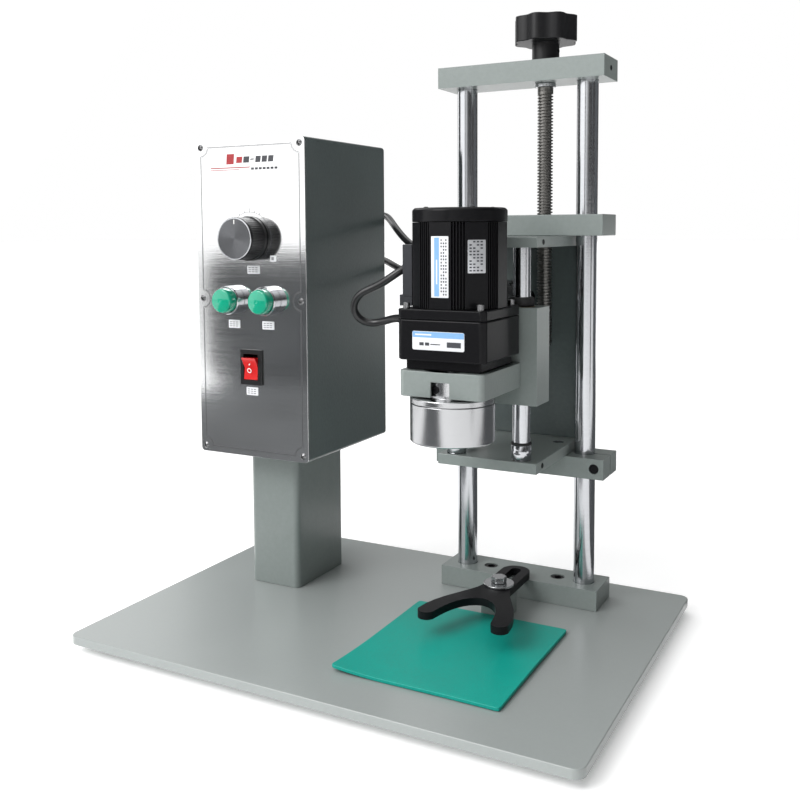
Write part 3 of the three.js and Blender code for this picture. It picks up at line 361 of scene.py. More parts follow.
def refine(node, look, bevel):
    """A finer copy of a CAD node: flat faces made whole, edges rounded, curved walls smooth."""
    mesh_data = bmesh.new()
    mesh_data.from_mesh(frame["nodes"][node].data)
    bmesh.ops.remove_doubles(mesh_data, verts=mesh_data.verts, dist=WELD)
    bmesh.ops.dissolve_limit(mesh_data, angle_limit=FLAT, verts=mesh_data.verts, edges=mesh_data.edges)
    for f in mesh_data.faces:
        f.material_index = 0
    made = finish_piece(node + "_fine", mesh_data, [look], frame["nodes"][node]["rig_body"],
                        bevel)
    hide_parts(node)


# Each node's look and the width of its rounded edges.
REFINED = {
    "base_plate": ("plate_paint", 0.7), "box_post": ("paint", 0.4), "box_shell": ("box_paint_and_painted_shade", 0.8),
    "control_panel": ("stainless", 0.25), "foot_block": ("paint", 0.5), "top_bar": ("paint", 0.6),
    "middle_bar": ("paint", 0.6), "clamp_bar": ("paint", 0.6), "lower_shelf": ("paint", 0.5),
    # The back plate's darker paint is painted shade, for the shade it lies in behind the head.
    "upper_shelf": ("paint", 0.5), "back_plate": ("box_paint_and_painted_shade", 0.5), "slider_block": ("paint", 0.6),
    "motor_plate": ("paint", 0.6), "fork_post": ("paint", 0.4),
    "guide_rod_left": ("chrome", 0.8), "guide_rod_right": ("chrome", 0.8),
    "slide_rod_left": ("chrome", 0.5), "slide_rod_right": ("chrome", 0.5),
    "thrust_collar": ("zinc", 0.3), "handwheel": ("black_plastic", 1.6),
    "clamp_bolt": ("black_enamel", 0.3), "lift_motor": ("black_enamel", 0.8),
    "cable_clip": ("black_plastic", 0.3), "lift_pinion": ("zinc", 0.15), "lift_rack": ("zinc", 0.15),
    "slide_bushing_left": ("bronze", 0.3), "slide_bushing_right": ("bronze", 0.3),
    "gearbox": ("black_enamel", 1.2), "motor_flange": ("black_enamel", 0.8),
    "motor_body": ("black_enamel", 0.25), "motor_cap": ("black_enamel", 0.6),
    "terminal_cover": ("dark_plastic", 1.2),
    "chuck_hub": ("aluminium", 0.3), "chuck_body": ("aluminium", 0.4),
    "chuck_insert": ("rubber", 0.6), "bottle_fork": ("fork_enamel", 1.3), "fork_washer": ("zinc", 0.3),
    "fork_bolt": ("zinc", 0.4), "power_rocker": ("red", 0.5), "rocker_frame": ("black_plastic", 0.4),
    "mains_inlet": ("black_plastic", 0.5), "cable_gland_upper": ("black_plastic", 0.4),
    "cable_gland_lower": ("black_plastic", 0.4), "rubber_foot_front_left": ("rubber", 0.4),
    "rubber_foot_front_right": ("rubber", 0.4), "rubber_foot_back_left": ("rubber", 0.4),
    "rubber_foot_back_right": ("rubber", 0.4), "button_body_left": ("chrome", 0.3),
    "button_body_right": ("chrome", 0.3),
}
HIDDEN_INSIDE = {"potentiometer": "zinc", "controller_board": "board", "run_capacitor": "capacitor"}


def refine_all():
    for node, (look, bevel) in REFINED.items():
        refine(node, look, bevel)
    for node, look in HIDDEN_INSIDE.items():
        data = frame["nodes"][node].data
        data.materials.clear()
        data.materials.append(LOOK[look])


# ---------------------------------------------------------------- leads
LEAD_RADIUS = 3.6
LEAD_SPACING = 2.0
LEAD_SIDES = 20
SPLINE_DEGREE = 3
SPLINE_STEPS = 400
UPPER_LEAD = [
    (-128, 144, 384), (-128, 147, 384), (-128, 152, 384), (-126, 163, 384), (-115, 171.5, 383),
    (-99, 170.5, 381), (-84, 152, 377), (-64, 128, 367.5), (-46, 108, 359), (-27, 91, 349.5),
    (-9, 83, 344), (8, 79, 341), (21, 73, 340), (27, 61, 340), (28, 50, 340), (28, 43, 340),
    (28, 39.15, 340),
]
LOWER_LEAD = [
    (28, 38.85, 340), (28, 36, 340), (28, 30, 340), (29, 15, 339.5), (26, -3, 335), (14, -13, 326),
    (-1, -14, 316), (-11, -14, 311.5), (-20, -15, 308), (-28, -16, 302), (-32, -14.5, 293),
    (-31, -10.5, 284), (-25, -5.5, 278.5), (-15, -2.5, 277.5), (-4, -3, 280.5), (8, -7, 284),
    (18, -11.5, 284), (27, -16, 281.5), (35, -20.5, 281.5), (40.5, -24.2, 286.5), (42.2, -25.4, 294),
    (42.3, -25.5, 300.5), (42.3, -25.5, 304),
]
LIFT_LEAD = [
    (-128, 144, 336), (-128, 147, 336), (-128, 152, 336), (-126, 163, 336), (-115, 171.5, 334),
    (-98, 169, 330.5), (-80, 154, 325), (-52, 147, 315), (-22, 150, 305), (8, 154, 297),
    (38, 155.5, 293), (52, 155.5, 293), (62, 155.5, 293),
]


def spline_point(points, t):
    """A point on the cubic spline that starts and ends on its first and last control points."""
    degree = SPLINE_DEGREE
    spans = len(points) - degree
    knot = [min(max(i - degree, 0), spans) for i in range(len(points) + degree + 1)]
    span = min(int(t), spans - 1) + degree
    near = [place(*points[span - degree + j]) for j in range(degree + 1)]
    for level in range(1, degree + 1):
        for j in range(degree, level - 1, -1):
            i = span - degree + j
            share = (t - knot[i]) / (knot[i + degree - level + 1] - knot[i])
            near[j] = near[j - 1].lerp(near[j], share)
    return near[degree]


def even_path(points, spacing):
    """Points along the spline at even distances."""
    spans = len(points) - SPLINE_DEGREE
    fine = [spline_point(points, spans * i / SPLINE_STEPS) for i in range(SPLINE_STEPS + 1)]
    reach = [0.0]
    for a, b in zip(fine, fine[1:]):
        reach.append(reach[-1] + (b - a).length)
    count = round(reach[-1] / spacing)
    path, k = [], 0
    for n in range(count + 1):
        want = reach[-1] * n / count
        while k < SPLINE_STEPS - 1 and reach[k + 1] < want:
            k += 1
        path.append(fine[k].lerp(fine[k + 1], (want - reach[k]) / (reach[k + 1] - reach[k])))
    return path


def tube_mesh(path, radius):
    """A tube along the path, with a ring of corners that turns as little as it can."""
    mesh_data = bmesh.new()
    tangent = (path[1] - path[0]).normalized()
    side = tangent.orthogonal().normalized()
    loops = []
    for i, point in enumerate(path):
        ahead = (path[min(i + 1, len(path) - 1)] - path[max(i - 1, 0)]).normalized()
        side = (side - ahead * side.dot(ahead)).normalized()
        across = ahead.cross(side)
        loops.append([point + (side * math.cos(a) + across * math.sin(a)) * radius
                      for a in (2 * math.pi * k / LEAD_SIDES for k in range(LEAD_SIDES))])
    loops_to_faces(mesh_data, loops)
    return mesh_data


def add_lead(name, points, node):
    path = even_path(points, LEAD_SPACING * MM)
    made = finish_piece(name, tube_mesh(path, LEAD_RADIUS * MM), ["lead_jacket"], None)
    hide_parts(node)
    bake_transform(made)


def add_leads():
    """Each lead is a tube along its spline, in place of its CAD node."""
    add_lead("upper_lead", UPPER_LEAD,
             "upper_motor_lead")
    add_lead("lower_lead", LOWER_LEAD,
             "lower_motor_lead")
    add_lead("lift_lead", LIFT_LEAD,
             "lift_motor_lead")


# ---------------------------------------------------------------- screws
def socket_screw(name, at, direction, radius, height, body, look="black_enamel"):
    """A cap screw's head with a hexagon socket."""
    mesh_data = bmesh.new()
    across, edge, floor = radius * 1.1, 0.4, height * 0.4
    loops_to_faces(mesh_data, [
        circle(radius, 0, SCREW_SIDES), circle(radius, height - edge, SCREW_SIDES),
        circle(radius - edge, height, SCREW_SIDES), hexagon(across, height), hexagon(across, floor)])
    finish_piece(name, mesh_data, [look], body, sharp=30, world=facing(place(*at), direction))


def cross_screw(name, at, direction, radius, body, look="dull_steel", turn=0.0):
    """A domed head with a cross recess: its rings dip where the cross's arms run."""
    mesh_data = bmesh.new()
    sides, dome, arm = 48, radius * 0.5, radius * 0.17
    rings = [circle(radius, 0, sides)]
    for share in (1.0, 0.86, 0.66, 0.56, 0.5, 0.4, 0.3, 0.2):
        ring = []
        for point in circle(radius * share, dome * (1.05 - share * share), sides):
            off = min(abs(point.x), abs(point.y))
            depth = dome * 0.9 if off < arm and share <= 0.56 else 0.0
            ring.append(Vector((point.x, point.y, max(point.z - depth, 0.02))))
        rings.append(ring)
    loops_to_faces(mesh_data, rings)
    spin = Matrix.Rotation(math.radians(turn), 4, "Z")
    finish_piece(name, mesh_data, [look], body, sharp=35,
                 world=facing(place(*at), direction) @ spin)


def countersunk_screw(name, at, radius, body):
    """A countersunk head, flush with the face it holds, with a hexagon socket."""
    mesh_data = bmesh.new()
    across, depth, floor = radius * 0.95, 2.2, 1.8
    loops_to_faces(mesh_data, [
        circle(radius * 0.55, -depth, SCREW_SIDES), circle(radius, -0.1, SCREW_SIDES),
        circle(radius - 0.2, 0, SCREW_SIDES), hexagon(across, 0), hexagon(across, -floor)])
    finish_piece(name, mesh_data, ["zinc"], body, sharp=30,
                 world=facing(place(*at), (0, 0, 1)))


# ---------------------------------------------------------------- control panel
BOX_X, BOX_FRONT, BOX_MIDDLE = -146.0, -19.0, 297.0
PANEL_HALF_WIDTH, PANEL_HALF_HEIGHT = 65.0, 156.0
PANEL_SCREW_INSET = 6.0
KNOB_Z, BUTTON_Z, BUTTON_OFFSET, ROCKER_Z = 357.0, 296.5, 21.75, 230.5
PRINT, THICK_PRINT = 0.06, 0.08   # how far the printing stands up


def on_panel(x=0.0, z=BOX_MIDDLE):
    """A frame on the panel's face whose X runs right and Y runs up."""
    return facing(place(BOX_X + x, BOX_FRONT, z), (0, -1, 0))


def border_outline(inset, notch):
    """The etched border: a rectangle with quarter-round corners round the corner screws and half-rounds
    round the middle screws, all bulging inwards."""
    w, h = PANEL_HALF_WIDTH - inset, PANEL_HALF_HEIGHT - inset
    screw = PANEL_SCREW_INSET - inset
    corner_steps, middle_steps = 10, 16
    points = []
    for sx, sz, start in ((1, 1, 270), (-1, 1, 0), (-1, -1, 90), (1, -1, 180)):
        centre = Vector((sx * (w - screw), sz * (h - screw), 0))
        for i in range(corner_steps + 1):
            a = math.radians(start - 90 * i / corner_steps)
            p = centre + notch * Vector((math.cos(a), math.sin(a), 0))
            points.append(Vector((max(-w, min(w, p.x)), max(-h, min(h, p.y)), 0)))
        # The notch round a side's middle screw comes after the first of that side's corners.
        if (sx, sz) in ((-1, 1), (1, -1)):
            first = 90 if sx < 0 else 270
            for i in range(middle_steps + 1):
                a = math.radians(first - 180 * i / middle_steps)
                p = Vector((sx * (w - screw) + notch * math.cos(a), notch * math.sin(a), 0))
                points.append(Vector((max(-w, min(w, p.x)), p.y, 0)))
    return points


def ribbon(mesh_data, points, width, height, closed=True):
    """A flat line along points on the XY plane, standing up from it by height."""
    inner, outer = [], []
    count = len(points)
    for i, point in enumerate(points):
        after = points[(i + 1) % count] if closed else points[min(i + 1, count - 1)]
        before = points[i - 1] if closed else points[max(i - 1, 0)]
        along = (after - before).normalized()
        across = Vector((-along.y, along.x, 0)) * width / 2
        inner.append(point - across)
        outer.append(point + across)
    up = Vector((0, 0, height))
    loops = [[a, b, b + up, a + up] for a, b in zip(inner, outer)]
    if closed:
        loops.append(loops[0])
    loops_to_faces(mesh_data, loops, cap_start=not closed, cap_end=not closed)
    bmesh.ops.remove_doubles(mesh_data, verts=mesh_data.verts, dist=COINCIDENT)


def add_panel_marks():
    lines = bmesh.new()
    ribbon(lines, border_outline(5.2, 8.6), 0.55, PRINT)
    ribbon(lines, border_outline(6.8, 9.6), 0.35, PRINT)
    finish_piece("panel_border", lines, ["etched"], "root", world=on_panel())

    # Leaning blocks over two rules and a row of dashes, as (left, right, low, high, look).
    title = bmesh.new()
    red, dark, lean = 0, 1, 0.8
    for x0, x1, y0, y1, index in (
            (-27, -18, 132.5, 142.5, red), (-15, -8, 133.5, 139.5, red),
            (-6.5, 0.5, 133.5, 139.5, dark), (2, 6, 136, 137.2, dark), (8, 14, 133.5, 139.5, dark),
            (15.5, 21.5, 133.5, 139.5, dark), (23, 29, 133.5, 139.5, dark),
            (-47, 1, 128.6, 129.6, red), (-47, -12, 126.8, 127.4, red)):
        loops_to_faces(title, [
            [Vector((x, y, z)) for x, y in ((x0, y0), (x1, y0), (x1 + lean, y1), (x0 + lean, y1))]
            for z in (0.0, THICK_PRINT)], index)
    dashes, dash, pitch = 7, 3.4, 4.6
    for i in range(dashes):
        left = 3 + pitch * i
        slab(title, left, left + dash, 126.4, 128.6, 0, THICK_PRINT, dark)
    finish_piece("panel_title", title, ["red_ink", "ink"], "root", world=on_panel())

    dial = bmesh.new()
    radius, first, last, ticks, ticks_to_long = 25.5, -135, 135, 21, 5
    arc = [Vector((radius * math.sin(math.radians(a)), radius * math.cos(math.radians(a)), 0))
           for a in range(first, last + 1, 5)]
    ribbon(dial, arc, 0.4, PRINT, closed=False)
    for i in range(ticks):
        a = math.radians(first + (last - first) * i / (ticks - 1))
        length = 4.0 if i % ticks_to_long == 0 else 2.2
        out = Vector((math.sin(a), math.cos(a), 0))
        ribbon(dial, [out * radius, out * (radius + length)], 0.5, PRINT, closed=False)
    finish_piece("knob_scale", dial, ["ink"], "root", world=on_panel(z=KNOB_Z))


def label(name, world, width, height, bars, body, plate="white", corner=0.6):
    """A thin rounded label. bars are its printed patches as (x0, x1, y0, y1, look), from its middle.
    Those after the first stand a little higher, because they can lie on it."""
    mesh_data = bmesh.new()
    looks = [plate] + sorted({bar[4] for bar in bars})
    edge, thick = 0.2, 0.25
    loops_to_faces(mesh_data, [
        rounded(width, height, corner, 0), rounded(width, height, corner, edge),
        rounded(width - edge, height - edge, corner - edge / 2, thick)])
    for i, (x0, x1, y0, y1, look) in enumerate(bars):
        top = 0.33 if i else 0.3
        slab(mesh_data, x0, x1, y0, y1, thick, top, looks.index(look))
    finish_piece(name, mesh_data, looks, body, sharp=30, world=world)


def add_panel_labels():
    """Plain labels under the controls, each with three rows of dashes."""
    margin, half_dash = 1.5, 0.3
    labels = {
        "speed": (4.0, 326.5, 15, 8, 3), "scale_end": (27.5, 337.5, 7, 6, 1),
        "start": (-20.5, 272.5, 14, 8, 3), "stop": (20.5, 272.5, 14, 8, 3),
        "power": (0.0, 206.5, 14, 8, 3),
    }
    for name, (x, z, width, height, columns) in labels.items():
        pitch = (width - 2 * margin) / columns
        row = height / 2 - 2
        bars = []
        for i in range(columns):
            left = margin - width / 2 + pitch * i
            right = left + pitch * 0.72
            bars += [(left, right, y - half_dash, y + half_dash, "ink") for y in (row, 0, -row)]
        label(f"panel_label_{name}", on_panel(x, z), width, height, bars, "root")


def add_panel_screws():
    turns = (12, 50, 81, 33, 64, 8)
    across, up = PANEL_HALF_WIDTH - PANEL_SCREW_INSET, PANEL_HALF_HEIGHT - PANEL_SCREW_INSET
    spots = [(side * across, BOX_MIDDLE + rise) for side in (-1, 1) for rise in (-up, 0, up)]
    for i, ((x, z), turn) in enumerate(zip(spots, turns)):
        cross_screw(f"panel_screw_{i + 1}", (BOX_X + x, BOX_FRONT, z), (0, -1, 0), 3.3, "root",
                    turn=turn)


def add_knob():
    """A fluted grip over a plain skirt, with a bright rim round a dark spun cap and a white pointer."""
    radius, length, skirt = 20.5, 25.0, 21.6
    flutes, sides, rim_sides, shaft_sides = 48, 192, 96, 24
    mesh_data = bmesh.new()
    loops = [circle(9, 0.6, sides), circle(skirt - 0.5, 0.6, sides), circle(skirt, 1.1, sides),
             circle(skirt, 4.2, sides), circle(skirt - 0.5, 4.8, sides)]
    for z, depth in ((5.2, 0.0), (6.4, 0.55), (length - 4.4, 0.55), (length - 3.4, 0.0)):
        ring = []
        for i, point in enumerate(circle(radius, z, sides)):
            wave = 0.5 - 0.5 * math.cos(2 * math.pi * flutes * i / sides)
            ring.append(Vector((point.x, point.y, 0)) * (1 - depth * wave / radius) + Vector((0, 0, z)))
        loops.append(ring)
    loops += [circle(radius, length - 1.2, sides), circle(radius - 0.4, length - 0.6, sides)]
    loops_to_faces(mesh_data, loops)
    world = on_panel(z=KNOB_Z)
    grip = finish_piece("knob_grip", mesh_data, ["black_plastic"], "knob", world=world)
    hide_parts("speed_knob")

    rim = bmesh.new()
    turned_ring(rim, [
        (radius - 1.7, length - 0.7), (radius - 0.4, length - 0.7), (radius - 0.3, length - 0.4),
        (radius - 0.7, length - 0.05), (radius - 1.5, length - 0.05), (radius - 1.7, length - 0.3)],
        rim_sides)
    finish_piece("knob_rim", rim, ["chrome"], "knob", world=world)
    cap = bmesh.new()
    turned(cap, [(radius - 1.8, length - 0.7), (radius - 1.8, length - 0.4), (9.0, length - 0.5),
                 (0.6, length - 0.5)], rim_sides)
    finish_piece("knob_cap", cap, ["knob_cap"], "knob", world=world)
    pointer = bmesh.new()
    slab(pointer, -0.5, 0.5, radius - 6.5, radius - 2.4, length - 0.5, length - 0.3)
    finish_piece("knob_pointer", pointer, ["mark"], "knob", bevel=0.08, world=world)
    shaft = bmesh.new()
    turned(shaft, [(3.0, -9), (3.0, 5.4), (2.9, 5.5)], shaft_sides)
    finish_piece("knob_shaft", shaft, ["zinc"], "knob", world=world)


def add_buttons():
    """Green lenses, each on a stem. Fine grooves run round the domed face."""
    rings, groove, dome, face_radius, face_height = 10, 0.35, 1.6, 10.4, 19.8
    profile = [(8.0, -18), (8.0, 9), (12.0, 9), (12.0, 16.9), (11.7, 18.1), (11.0, 19.3)]
    for i in range(rings):
        share = i / (rings - 1)
        height = face_height + dome * math.sin(share * math.pi / 2) - (groove if i % 2 else 0.0)
        profile.append((face_radius - (face_radius - 1) * share, height))
    for name, side, body in (("left", -1, "start_button"), ("right", 1, "stop_button")):
        mesh_data = bmesh.new()
        turned(mesh_data, profile, 96)
        lens = finish_piece(f"lens_{name}", mesh_data, ["lens"], body,
                            sharp=50, world=on_panel(side * BUTTON_OFFSET, BUTTON_Z))
        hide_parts(f"button_lens_{name}")


def add_rocker_marks():
    """The on and off marks lie on the rocker's two faces, which fall away from a ridge between them."""
    pivot_depth, lean, ridge, thick, gap = 2.0, math.radians(-11), 7.5, 0.12, 0.02
    slope = math.atan2(3.5, 8.6)
    middle = (Matrix.Translation((0, 0, -pivot_depth)) @ Matrix.Rotation(lean, 4, "X")
              @ Matrix.Translation((0, 0, ridge)))
    stroke, ring = bmesh.new(), bmesh.new()
    slab(stroke, -0.6, 0.6, -2.9, 2.9, 0, thick)
    ribbon(ring, circle(2.1, 0, SCREW_SIDES), 0.8, thick)
    for name, mesh_data, turn, along in (("on", stroke, -slope, 4.2), ("off", ring, slope, -4.4)):
        on_face = middle @ Matrix.Rotation(turn, 4, "X") @ Matrix.Translation((0, along, gap))
        bmesh.ops.transform(mesh_data, matrix=on_face, verts=mesh_data.verts)
        finish_piece(f"rocker_mark_{name}", mesh_data, ["mark"], "rocker",
                     world=on_panel(z=ROCKER_Z))


# ---------------------------------------------------------------- column
COLUMN_Y = 116.0
SCREW_X = 108.0
ROD_SIDES = 40


def add_screw_thread():
    """The lead screw: a core inside a right-handed trapezoid thread, and a plain shank above it."""
    bottom, top, shank_top, pitch = 250.0, 500.0, 557.5, 3.0
    crest, root, shank, sides = 7.5, 5.9, 6.0, 28
    # Where each corner of the thread's outline lies, as a share of the pitch, and its radius.
    shape = ((0.0, crest), (0.36, crest), (0.52, root), (0.84, root))
    turns = int((top - bottom) / pitch) - 1
    corners = [(turn + share, radius) for turn in range(turns) for share, radius in shape]
    mesh_data = bmesh.new()
    verts = []
    for height, radius in corners:
        ring = []
        for i in range(sides):
            share = i / sides
            angle = 2 * math.pi * share
            z = bottom + 1 + (height + share) * pitch
            ring.append(mesh_data.verts.new((radius * math.cos(angle), radius * math.sin(angle), z)))
        verts.append(ring)
    # Each row of faces ends where the row one turn further up begins.
    for k in range(len(verts) - 1):
        for i in range(sides - 1):
            mesh_data.faces.new((verts[k][i], verts[k][i + 1], verts[k + 1][i + 1], verts[k + 1][i]))
        if k + 1 + len(shape) < len(verts):
            mesh_data.faces.new((verts[k][-1], verts[k + len(shape)][0], verts[k + 1 + len(shape)][0],
                                 verts[k + 1][-1]))
    core = root - 0.02
    turned(mesh_data, [(root - 0.8, bottom), (core, bottom + 0.6), (core, top)], sides)
    turned(mesh_data, [(crest, top - 6), (crest, top), (shank, top + 0.1), (shank, shank_top),
                       (shank - 0.5, shank_top + 0.5)], sides)
    made = finish_piece("lead_screw_thread", mesh_data, ["thread"], "height_screw",
                        sharp=34,
                        world=Matrix.Translation(place(SCREW_X, COLUMN_Y, 0)))
    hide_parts("lead_screw")


def set_screw(name, at, direction, body, radius=2.6):
    """A set screw whose end stands a little clear of the face it is in."""
    socket_screw(name, at, direction, radius, 0.5, body)


def add_column_screws():
    bar_left, bar_right, sunk = 4.0, 172.0, 0.05
    shelf_right, shelf_y = 138.0, 28.0
    hub_radius, hub_z = 12.9, 534
    for i, x in enumerate((52.5, 123.5)):
        socket_screw(f"foot_block_screw_{i + 1}", (x, COLUMN_Y, 12.2), (0, 0, 1), 6.4, 7.2, "root")
    for i, x in enumerate((54.0, 126.0)):
        countersunk_screw(f"shelf_screw_{i + 1}", (x, 108, 157.7), 5.3, "carriage")
    for name, x, outward, z, body in (
            ("top_bar_set_screw_left", bar_left, -1, 514, "root"),
            ("top_bar_set_screw_right", bar_right, 1, 514, "root"),
            ("middle_bar_set_screw_left", bar_left, -1, 368, "carriage")):
        set_screw(name, (x - sunk * outward, COLUMN_Y, z), (outward, 0, 0), body)
    for name, z in (("upper_shelf_set_screw", 353), ("lower_shelf_set_screw", 153)):
        set_screw(name, (shelf_right - sunk, shelf_y, z), (1, 0, 0), "carriage")
    set_screw("handwheel_set_screw", (SCREW_X + hub_radius - sunk, COLUMN_Y, hub_z), (1, 0, 0),
              "height_screw", radius=2.2)


def ring_on_rod(name, x, y, z0, z1, inner, outer, look, body):
    mesh_data = bmesh.new()
    edge = 0.8
    turned_ring(mesh_data, [
        (inner, z0 + edge), (inner + edge, z0), (outer - edge, z0), (outer, z0 + edge),
        (outer, z1 - edge), (outer - edge, z1), (inner + edge, z1), (inner, z1 - edge)], ROD_SIDES)
    finish_piece(name, mesh_data, [look], body, sharp=60,
                 world=Matrix.Translation(place(x, y, 0)))


def add_slide_rings():
    """On each slide rod: a bumper on the head, and the rod's lower sleeve with its rubber ring."""
    y = 23.0
    for side, x in (("left", 56.0), ("right", 120.0)):
        ring_on_rod(f"slider_bumper_{side}", x, y, 296.2, 304.5, 8.15, 11.2, "rubber", "head")
        ring_on_rod(f"stop_sleeve_{side}", x, y, 158.2, 171.5, 8.02, 9.0, "chrome", "carriage")
        ring_on_rod(f"stop_ring_{side}", x, y, 171.7, 173.9, 8.02, 9.4, "rubber", "carriage")


# ---------------------------------------------------------------- head
MOTOR_X, MOTOR_Y = 86.5, -36.5
SHAFT_Y = MOTOR_Y - 15
MOTOR_FACE, GEARBOX_FACE = 39.0, 40.0   # from the motor's axis
LABEL_GAP = 0.02


def add_motor_labels():
    """The labels carry plain patches in rows, some left out so that the rows are uneven."""
    front = facing(place(MOTOR_X, MOTOR_Y - MOTOR_FACE - LABEL_GAP, 334), (0, -1, 0))
    columns = [(0.8 + 2.1 * i, 1.9 + 2.1 * i, -23 + 2.6 * j, -21.6 + 2.6 * j, "ink")
               for i in range(3) for j in range(18) if (i + 2 * j) % 7]
    label("motor_label_front", front, 15.5, 50,
          [(-5.0, -0.6, -24, 24, "blue"), (-3.4, -2.2, -14, 6, "white"), *columns], "head")
    turn = math.radians(45)
    out = Vector((math.sin(turn), -math.cos(turn), 0))
    spot = place(MOTOR_X, MOTOR_Y, 342.5) + out * (MOTOR_FACE + LABEL_GAP) * MM
    grid = [(-6.4 + 3.2 * i, -4.4 + 3.2 * i, 11.4 - 2.6 * j, 12.6 - 2.6 * j, "ink")
            for i in range(4) for j in range(10) if (i * 3 + j * 2) % 5]
    label("motor_label_side", facing(spot, out), 15.5, 27, grid, "head", plate="silver")
    gear = facing(place(85.2, MOTOR_Y - GEARBOX_FACE - LABEL_GAP, 273.4), (0, -1, 0))
    label("gearbox_label", gear, 47, 15.4, [
        (-23.2, 23.2, 2.6, 7.4, "blue"), (-21, -6, 4.4, 5.6, "white"), (8, 20.5, -4.8, -0.4, "ink"),
        (-17, -13, -4.0, -1.4, "ink"), (-11.8, -8, -4.0, -1.4, "ink"), (-6.8, 2, -3.2, -2.4, "ink")],
        "head", corner=1.4)


def add_motor_screws():
    up = (0, 0, 1)
    reach, flange_top, cap_reach, cap_top = 33.5, 299.0, 30.0, 382.4
    for i, (sx, sy) in enumerate(((-1, -1), (1, -1), (1, 1), (-1, 1))):
        spot = (MOTOR_X + sx * reach, MOTOR_Y + sy * reach, flange_top)
        socket_screw(f"gearbox_screw_{i + 1}", spot, up, 2.9, 5.0, "head", look="dull_steel")
    for i, angle in enumerate((45, 135, 225, 315)):
        a = math.radians(angle)
        spot = (MOTOR_X + cap_reach * math.cos(a), MOTOR_Y + cap_reach * math.sin(a), cap_top)
        cross_screw(f"motor_cap_screw_{i + 1}", spot, up, 2.6, "head", look="black_enamel",
                    turn=20 * i)


def add_terminal_screws():
    cover_left, sunk = MOTOR_X - 46, 0.05
    for i, (y, z) in enumerate(((-13, 347), (13, 347), (-13, 313), (13, 313))):
        cross_screw(f"terminal_screw_{i + 1}", (cover_left + sunk, MOTOR_Y + y, z), (-1, 0, 0), 2.2,
                    "head", look="zinc", turn=15 + 25 * i)


def add_chuck_details():
    """The hub's set screw, seen in the motor plate's notch, and the screws that hold the body."""
    hub_radius, hub_z, rim_reach, rim_z = 21.75, 232.5, 29.0, 187.05
    a = math.radians(-104)
    out = Vector((math.cos(a), math.sin(a), 0))
    socket_screw("hub_set_screw", Vector((MOTOR_X, SHAFT_Y, hub_z)) + out * hub_radius, out, 3.4, 0.9,
                 "chuck")
    for i in range(3):
        a = math.radians(90 + 120 * i)
        spot = (MOTOR_X + rim_reach * math.cos(a), SHAFT_Y + rim_reach * math.sin(a), rim_z)
        socket_screw(f"chuck_screw_{i + 1}", spot, (0, 0, -1), 2.4, 0.5, "chuck")


# ---------------------------------------------------------------- mat
def add_mat():
    """A rubber sheet that doesn't lie quite flat. u runs across it and v runs back, from 0 to 1."""
    left, right, front, back, low, thick = 10.0, 160.0, -127.0, 35.5, 0.3, 3.0
    columns, rows, corner = 44, 48, 2.5

    def lift(u, v):
        """The front left corner curls up, the right edge a little, and the rest ripples."""
        curl = 2.8 * max(0.0, 1 - (u + v * 0.8) / 0.34) ** 2
        edge = 1.0 * max(0.0, (u - 0.86) / 0.14) ** 2 * max(0.0, 1 - abs(v - 0.5) / 0.45)
        ripple = 0.12 * (1 + math.sin(7 * u + 2) * math.sin(6 * v + 1))
        return curl + edge + ripple

    def bow(u, v):
        """How far the front edge bends back at its middle."""
        return 0.9 * math.sin(math.pi * u) * (1 - v) ** 8

    mesh_data = bmesh.new()
    grid = {}
    for side, height in (("under", 0.0), ("over", thick)):
        for i in range(columns + 1):
            for j in range(rows + 1):
                u, v = i / columns, j / rows
                x = left + (right - left) * u
                y = front + (back - front) * v + bow(u, v)
                dx = max(0.0, left + corner - x, x - right + corner)
                dy = max(0.0, front + corner - y, y - back + corner)
                over = math.hypot(dx, dy) - corner
                if over > 0:
                    x += math.copysign(dx * over / (over + corner), (left + right) / 2 - x)
                    y += math.copysign(dy * over / (over + corner), (front + back) / 2 - y)
                grid[side, i, j] = mesh_data.verts.new((x, y, low + height + lift(u, v)))
    for i in range(columns):
        for j in range(rows):
            square = [(i, j), (i + 1, j), (i + 1, j + 1), (i, j + 1)]
            mesh_data.faces.new([grid["over", a, b] for a, b in square])
            mesh_data.faces.new([grid["under", a, b] for a, b in reversed(square)])
    rim = ([(i, 0) for i in range(columns)] + [(columns, j) for j in range(rows)]
           + [(i, rows) for i in range(columns, 0, -1)] + [(0, j) for j in range(rows, 0, -1)])
    for a, b in zip(rim, rim[1:] + rim[:1]):
        mesh_data.faces.new([grid["under", *a], grid["under", *b], grid["over", *b], grid["over", *a]])
    made = finish_piece("teal_mat", mesh_data, ["mat"], "root", bevel=0.5,
                        sharp=50, world=Matrix.Translation(place(0, 0, 0)))
    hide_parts("rubber_mat")


# ---------------------------------------------------------------- studio
CARD_THICKNESS, CARD_CORNER = 4, 60


def area_light(name, at, target, size, power):
    data = bpy.data.lights.new(name, "AREA")
    data.shape = "RECTANGLE"
    data.size, data.size_y = size
    data.energy = power
    lamp = bpy.data.objects.new(name, data)
    bpy.context.scene.collection.objects.link(lamp)
    lamp.matrix_world = facing(Vector(at), Vector(at) - Vector(target))


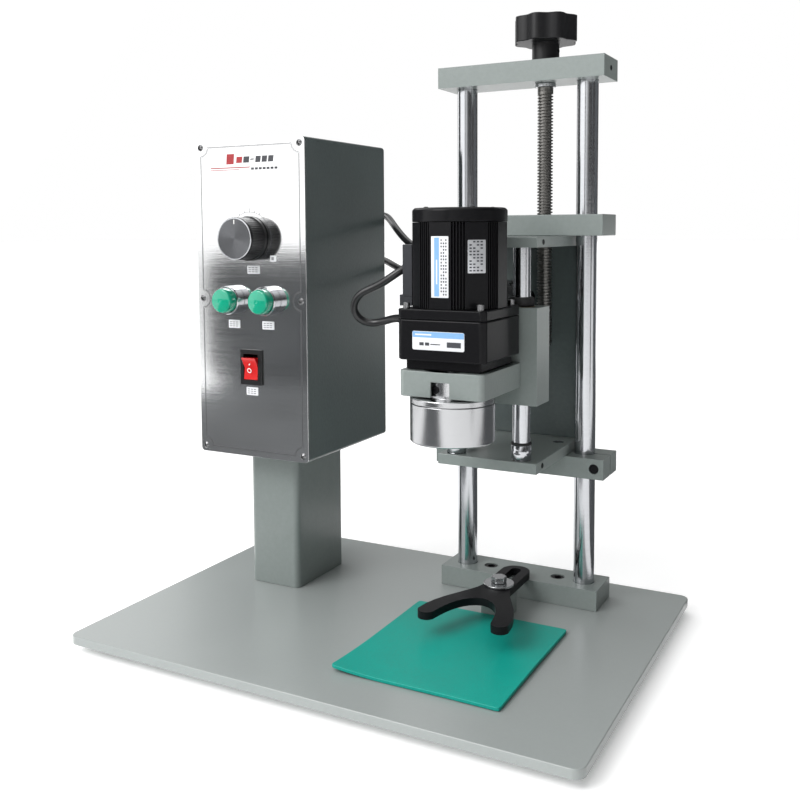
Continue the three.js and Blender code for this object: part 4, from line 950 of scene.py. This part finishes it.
def add_card(name, azimuth, reach, width, low, high, flat):
    """A dark card that only reflections show, so that polished metal has something to mirror. It
    stands at reach from the origin, from low to high, or lies flat on the floor, low to high away."""
    mesh_data = bmesh.new()
    loops_to_faces(mesh_data, [rounded(width, high - low, CARD_CORNER, z) for z in (0, CARD_THICKNESS)])
    a = math.radians(azimuth)
    out = Vector((math.sin(a), -math.cos(a), 0))
    middle = (low + high) / 2 * MM
    if flat:
        world = Matrix.Translation(out * middle) @ Matrix.Rotation(a, 4, "Z")
    else:
        world = facing(out * reach * MM + Vector((0, 0, middle)), -out)
    card = finish_piece(name, mesh_data, ["card"], None, world=world)
    card.visible_camera = card.visible_diffuse = card.visible_shadow = False
    card.visible_transmission = card.visible_volume_scatter = False


def add_world():
    """The camera sees white. What lights the object is bright at the upper front left, and dim
    on the side away from that."""
    brightest_from = Vector((-0.74, -0.36, 0.56)).normalized()
    dim, bright = 0.09, 1.75
    world = bpy.data.worlds.new("studio")
    world.use_nodes = True
    nodes, links = world.node_tree.nodes, world.node_tree.links
    coordinates = nodes.new("ShaderNodeTexCoord")
    facing_light = nodes.new("ShaderNodeVectorMath")
    facing_light.operation = "DOT_PRODUCT"
    links.new(coordinates.outputs["Generated"], facing_light.inputs[0])
    facing_light.inputs[1].default_value = brightest_from
    level = nodes.new("ShaderNodeMapRange")
    level.interpolation_type = "SMOOTHSTEP"
    level.inputs["From Min"].default_value = -0.1
    level.inputs["From Max"].default_value = 0.75
    level.inputs["To Min"].default_value = dim
    level.inputs["To Max"].default_value = bright
    links.new(facing_light.outputs["Value"], level.inputs["Value"])
    path = nodes.new("ShaderNodeLightPath")
    brighter = nodes.new("ShaderNodeMath")
    brighter.operation = "MAXIMUM"
    links.new(level.outputs["Result"], brighter.inputs[0])
    links.new(path.outputs["Is Camera Ray"], brighter.inputs[1])
    background = nodes["Background"]
    background.inputs["Color"].default_value = (1, 1, 1, 1)
    links.new(brighter.outputs[0], background.inputs["Strength"])
    bpy.context.scene.world = world


def add_studio():
    mesh_data = bmesh.new()
    far, thick = 30000, 40
    slab(mesh_data, -far, far, -far, far, -thick, 0)
    floor = finish_piece("floor", mesh_data, ["floor"], None, world=Matrix.Identity(4))
    add_world()
    bpy.context.scene.view_settings.view_transform = "Standard"
    middle_of_object = (0, 0, 0.25)
    area_light("key", (-0.9, -1.7, 1.7), middle_of_object, (1.2, 1.0), 26)
    # Each card's azimuth, counted from the front towards the right, its reach, width, low and high.
    for name, azimuth, reach, width, low, high, flat in (
            ("card_left", -88, 1500, 900, 0, 1500, False),
            ("card_left_far", -140, 1500, 420, 0, 1500, False),
            ("card_right", 128, 1500, 1300, 0, 1500, False),
            ("card_right_near", 76, 1500, 260, 0, 1500, False),
            ("card_front", -4, 1700, 240, 0, 1500, False),
            ("card_floor", -28, 0, 900, 330, 1500, True),
            ("card_low", -28, 1500, 900, 4, 330, False),
            ("card_floor_back", 146, 0, 1500, 300, 1900, True)):
        add_card(name, azimuth, reach, width, low, high, flat)


add_camera()
add_leads()
refine_all()
add_panel_marks()
add_panel_labels()
add_panel_screws()
add_knob()
add_buttons()
add_rocker_marks()
add_screw_thread()
add_column_screws()
add_slide_rings()
add_motor_labels()
add_motor_screws()
add_terminal_screws()
add_chuck_details()
add_mat()
add_studio()
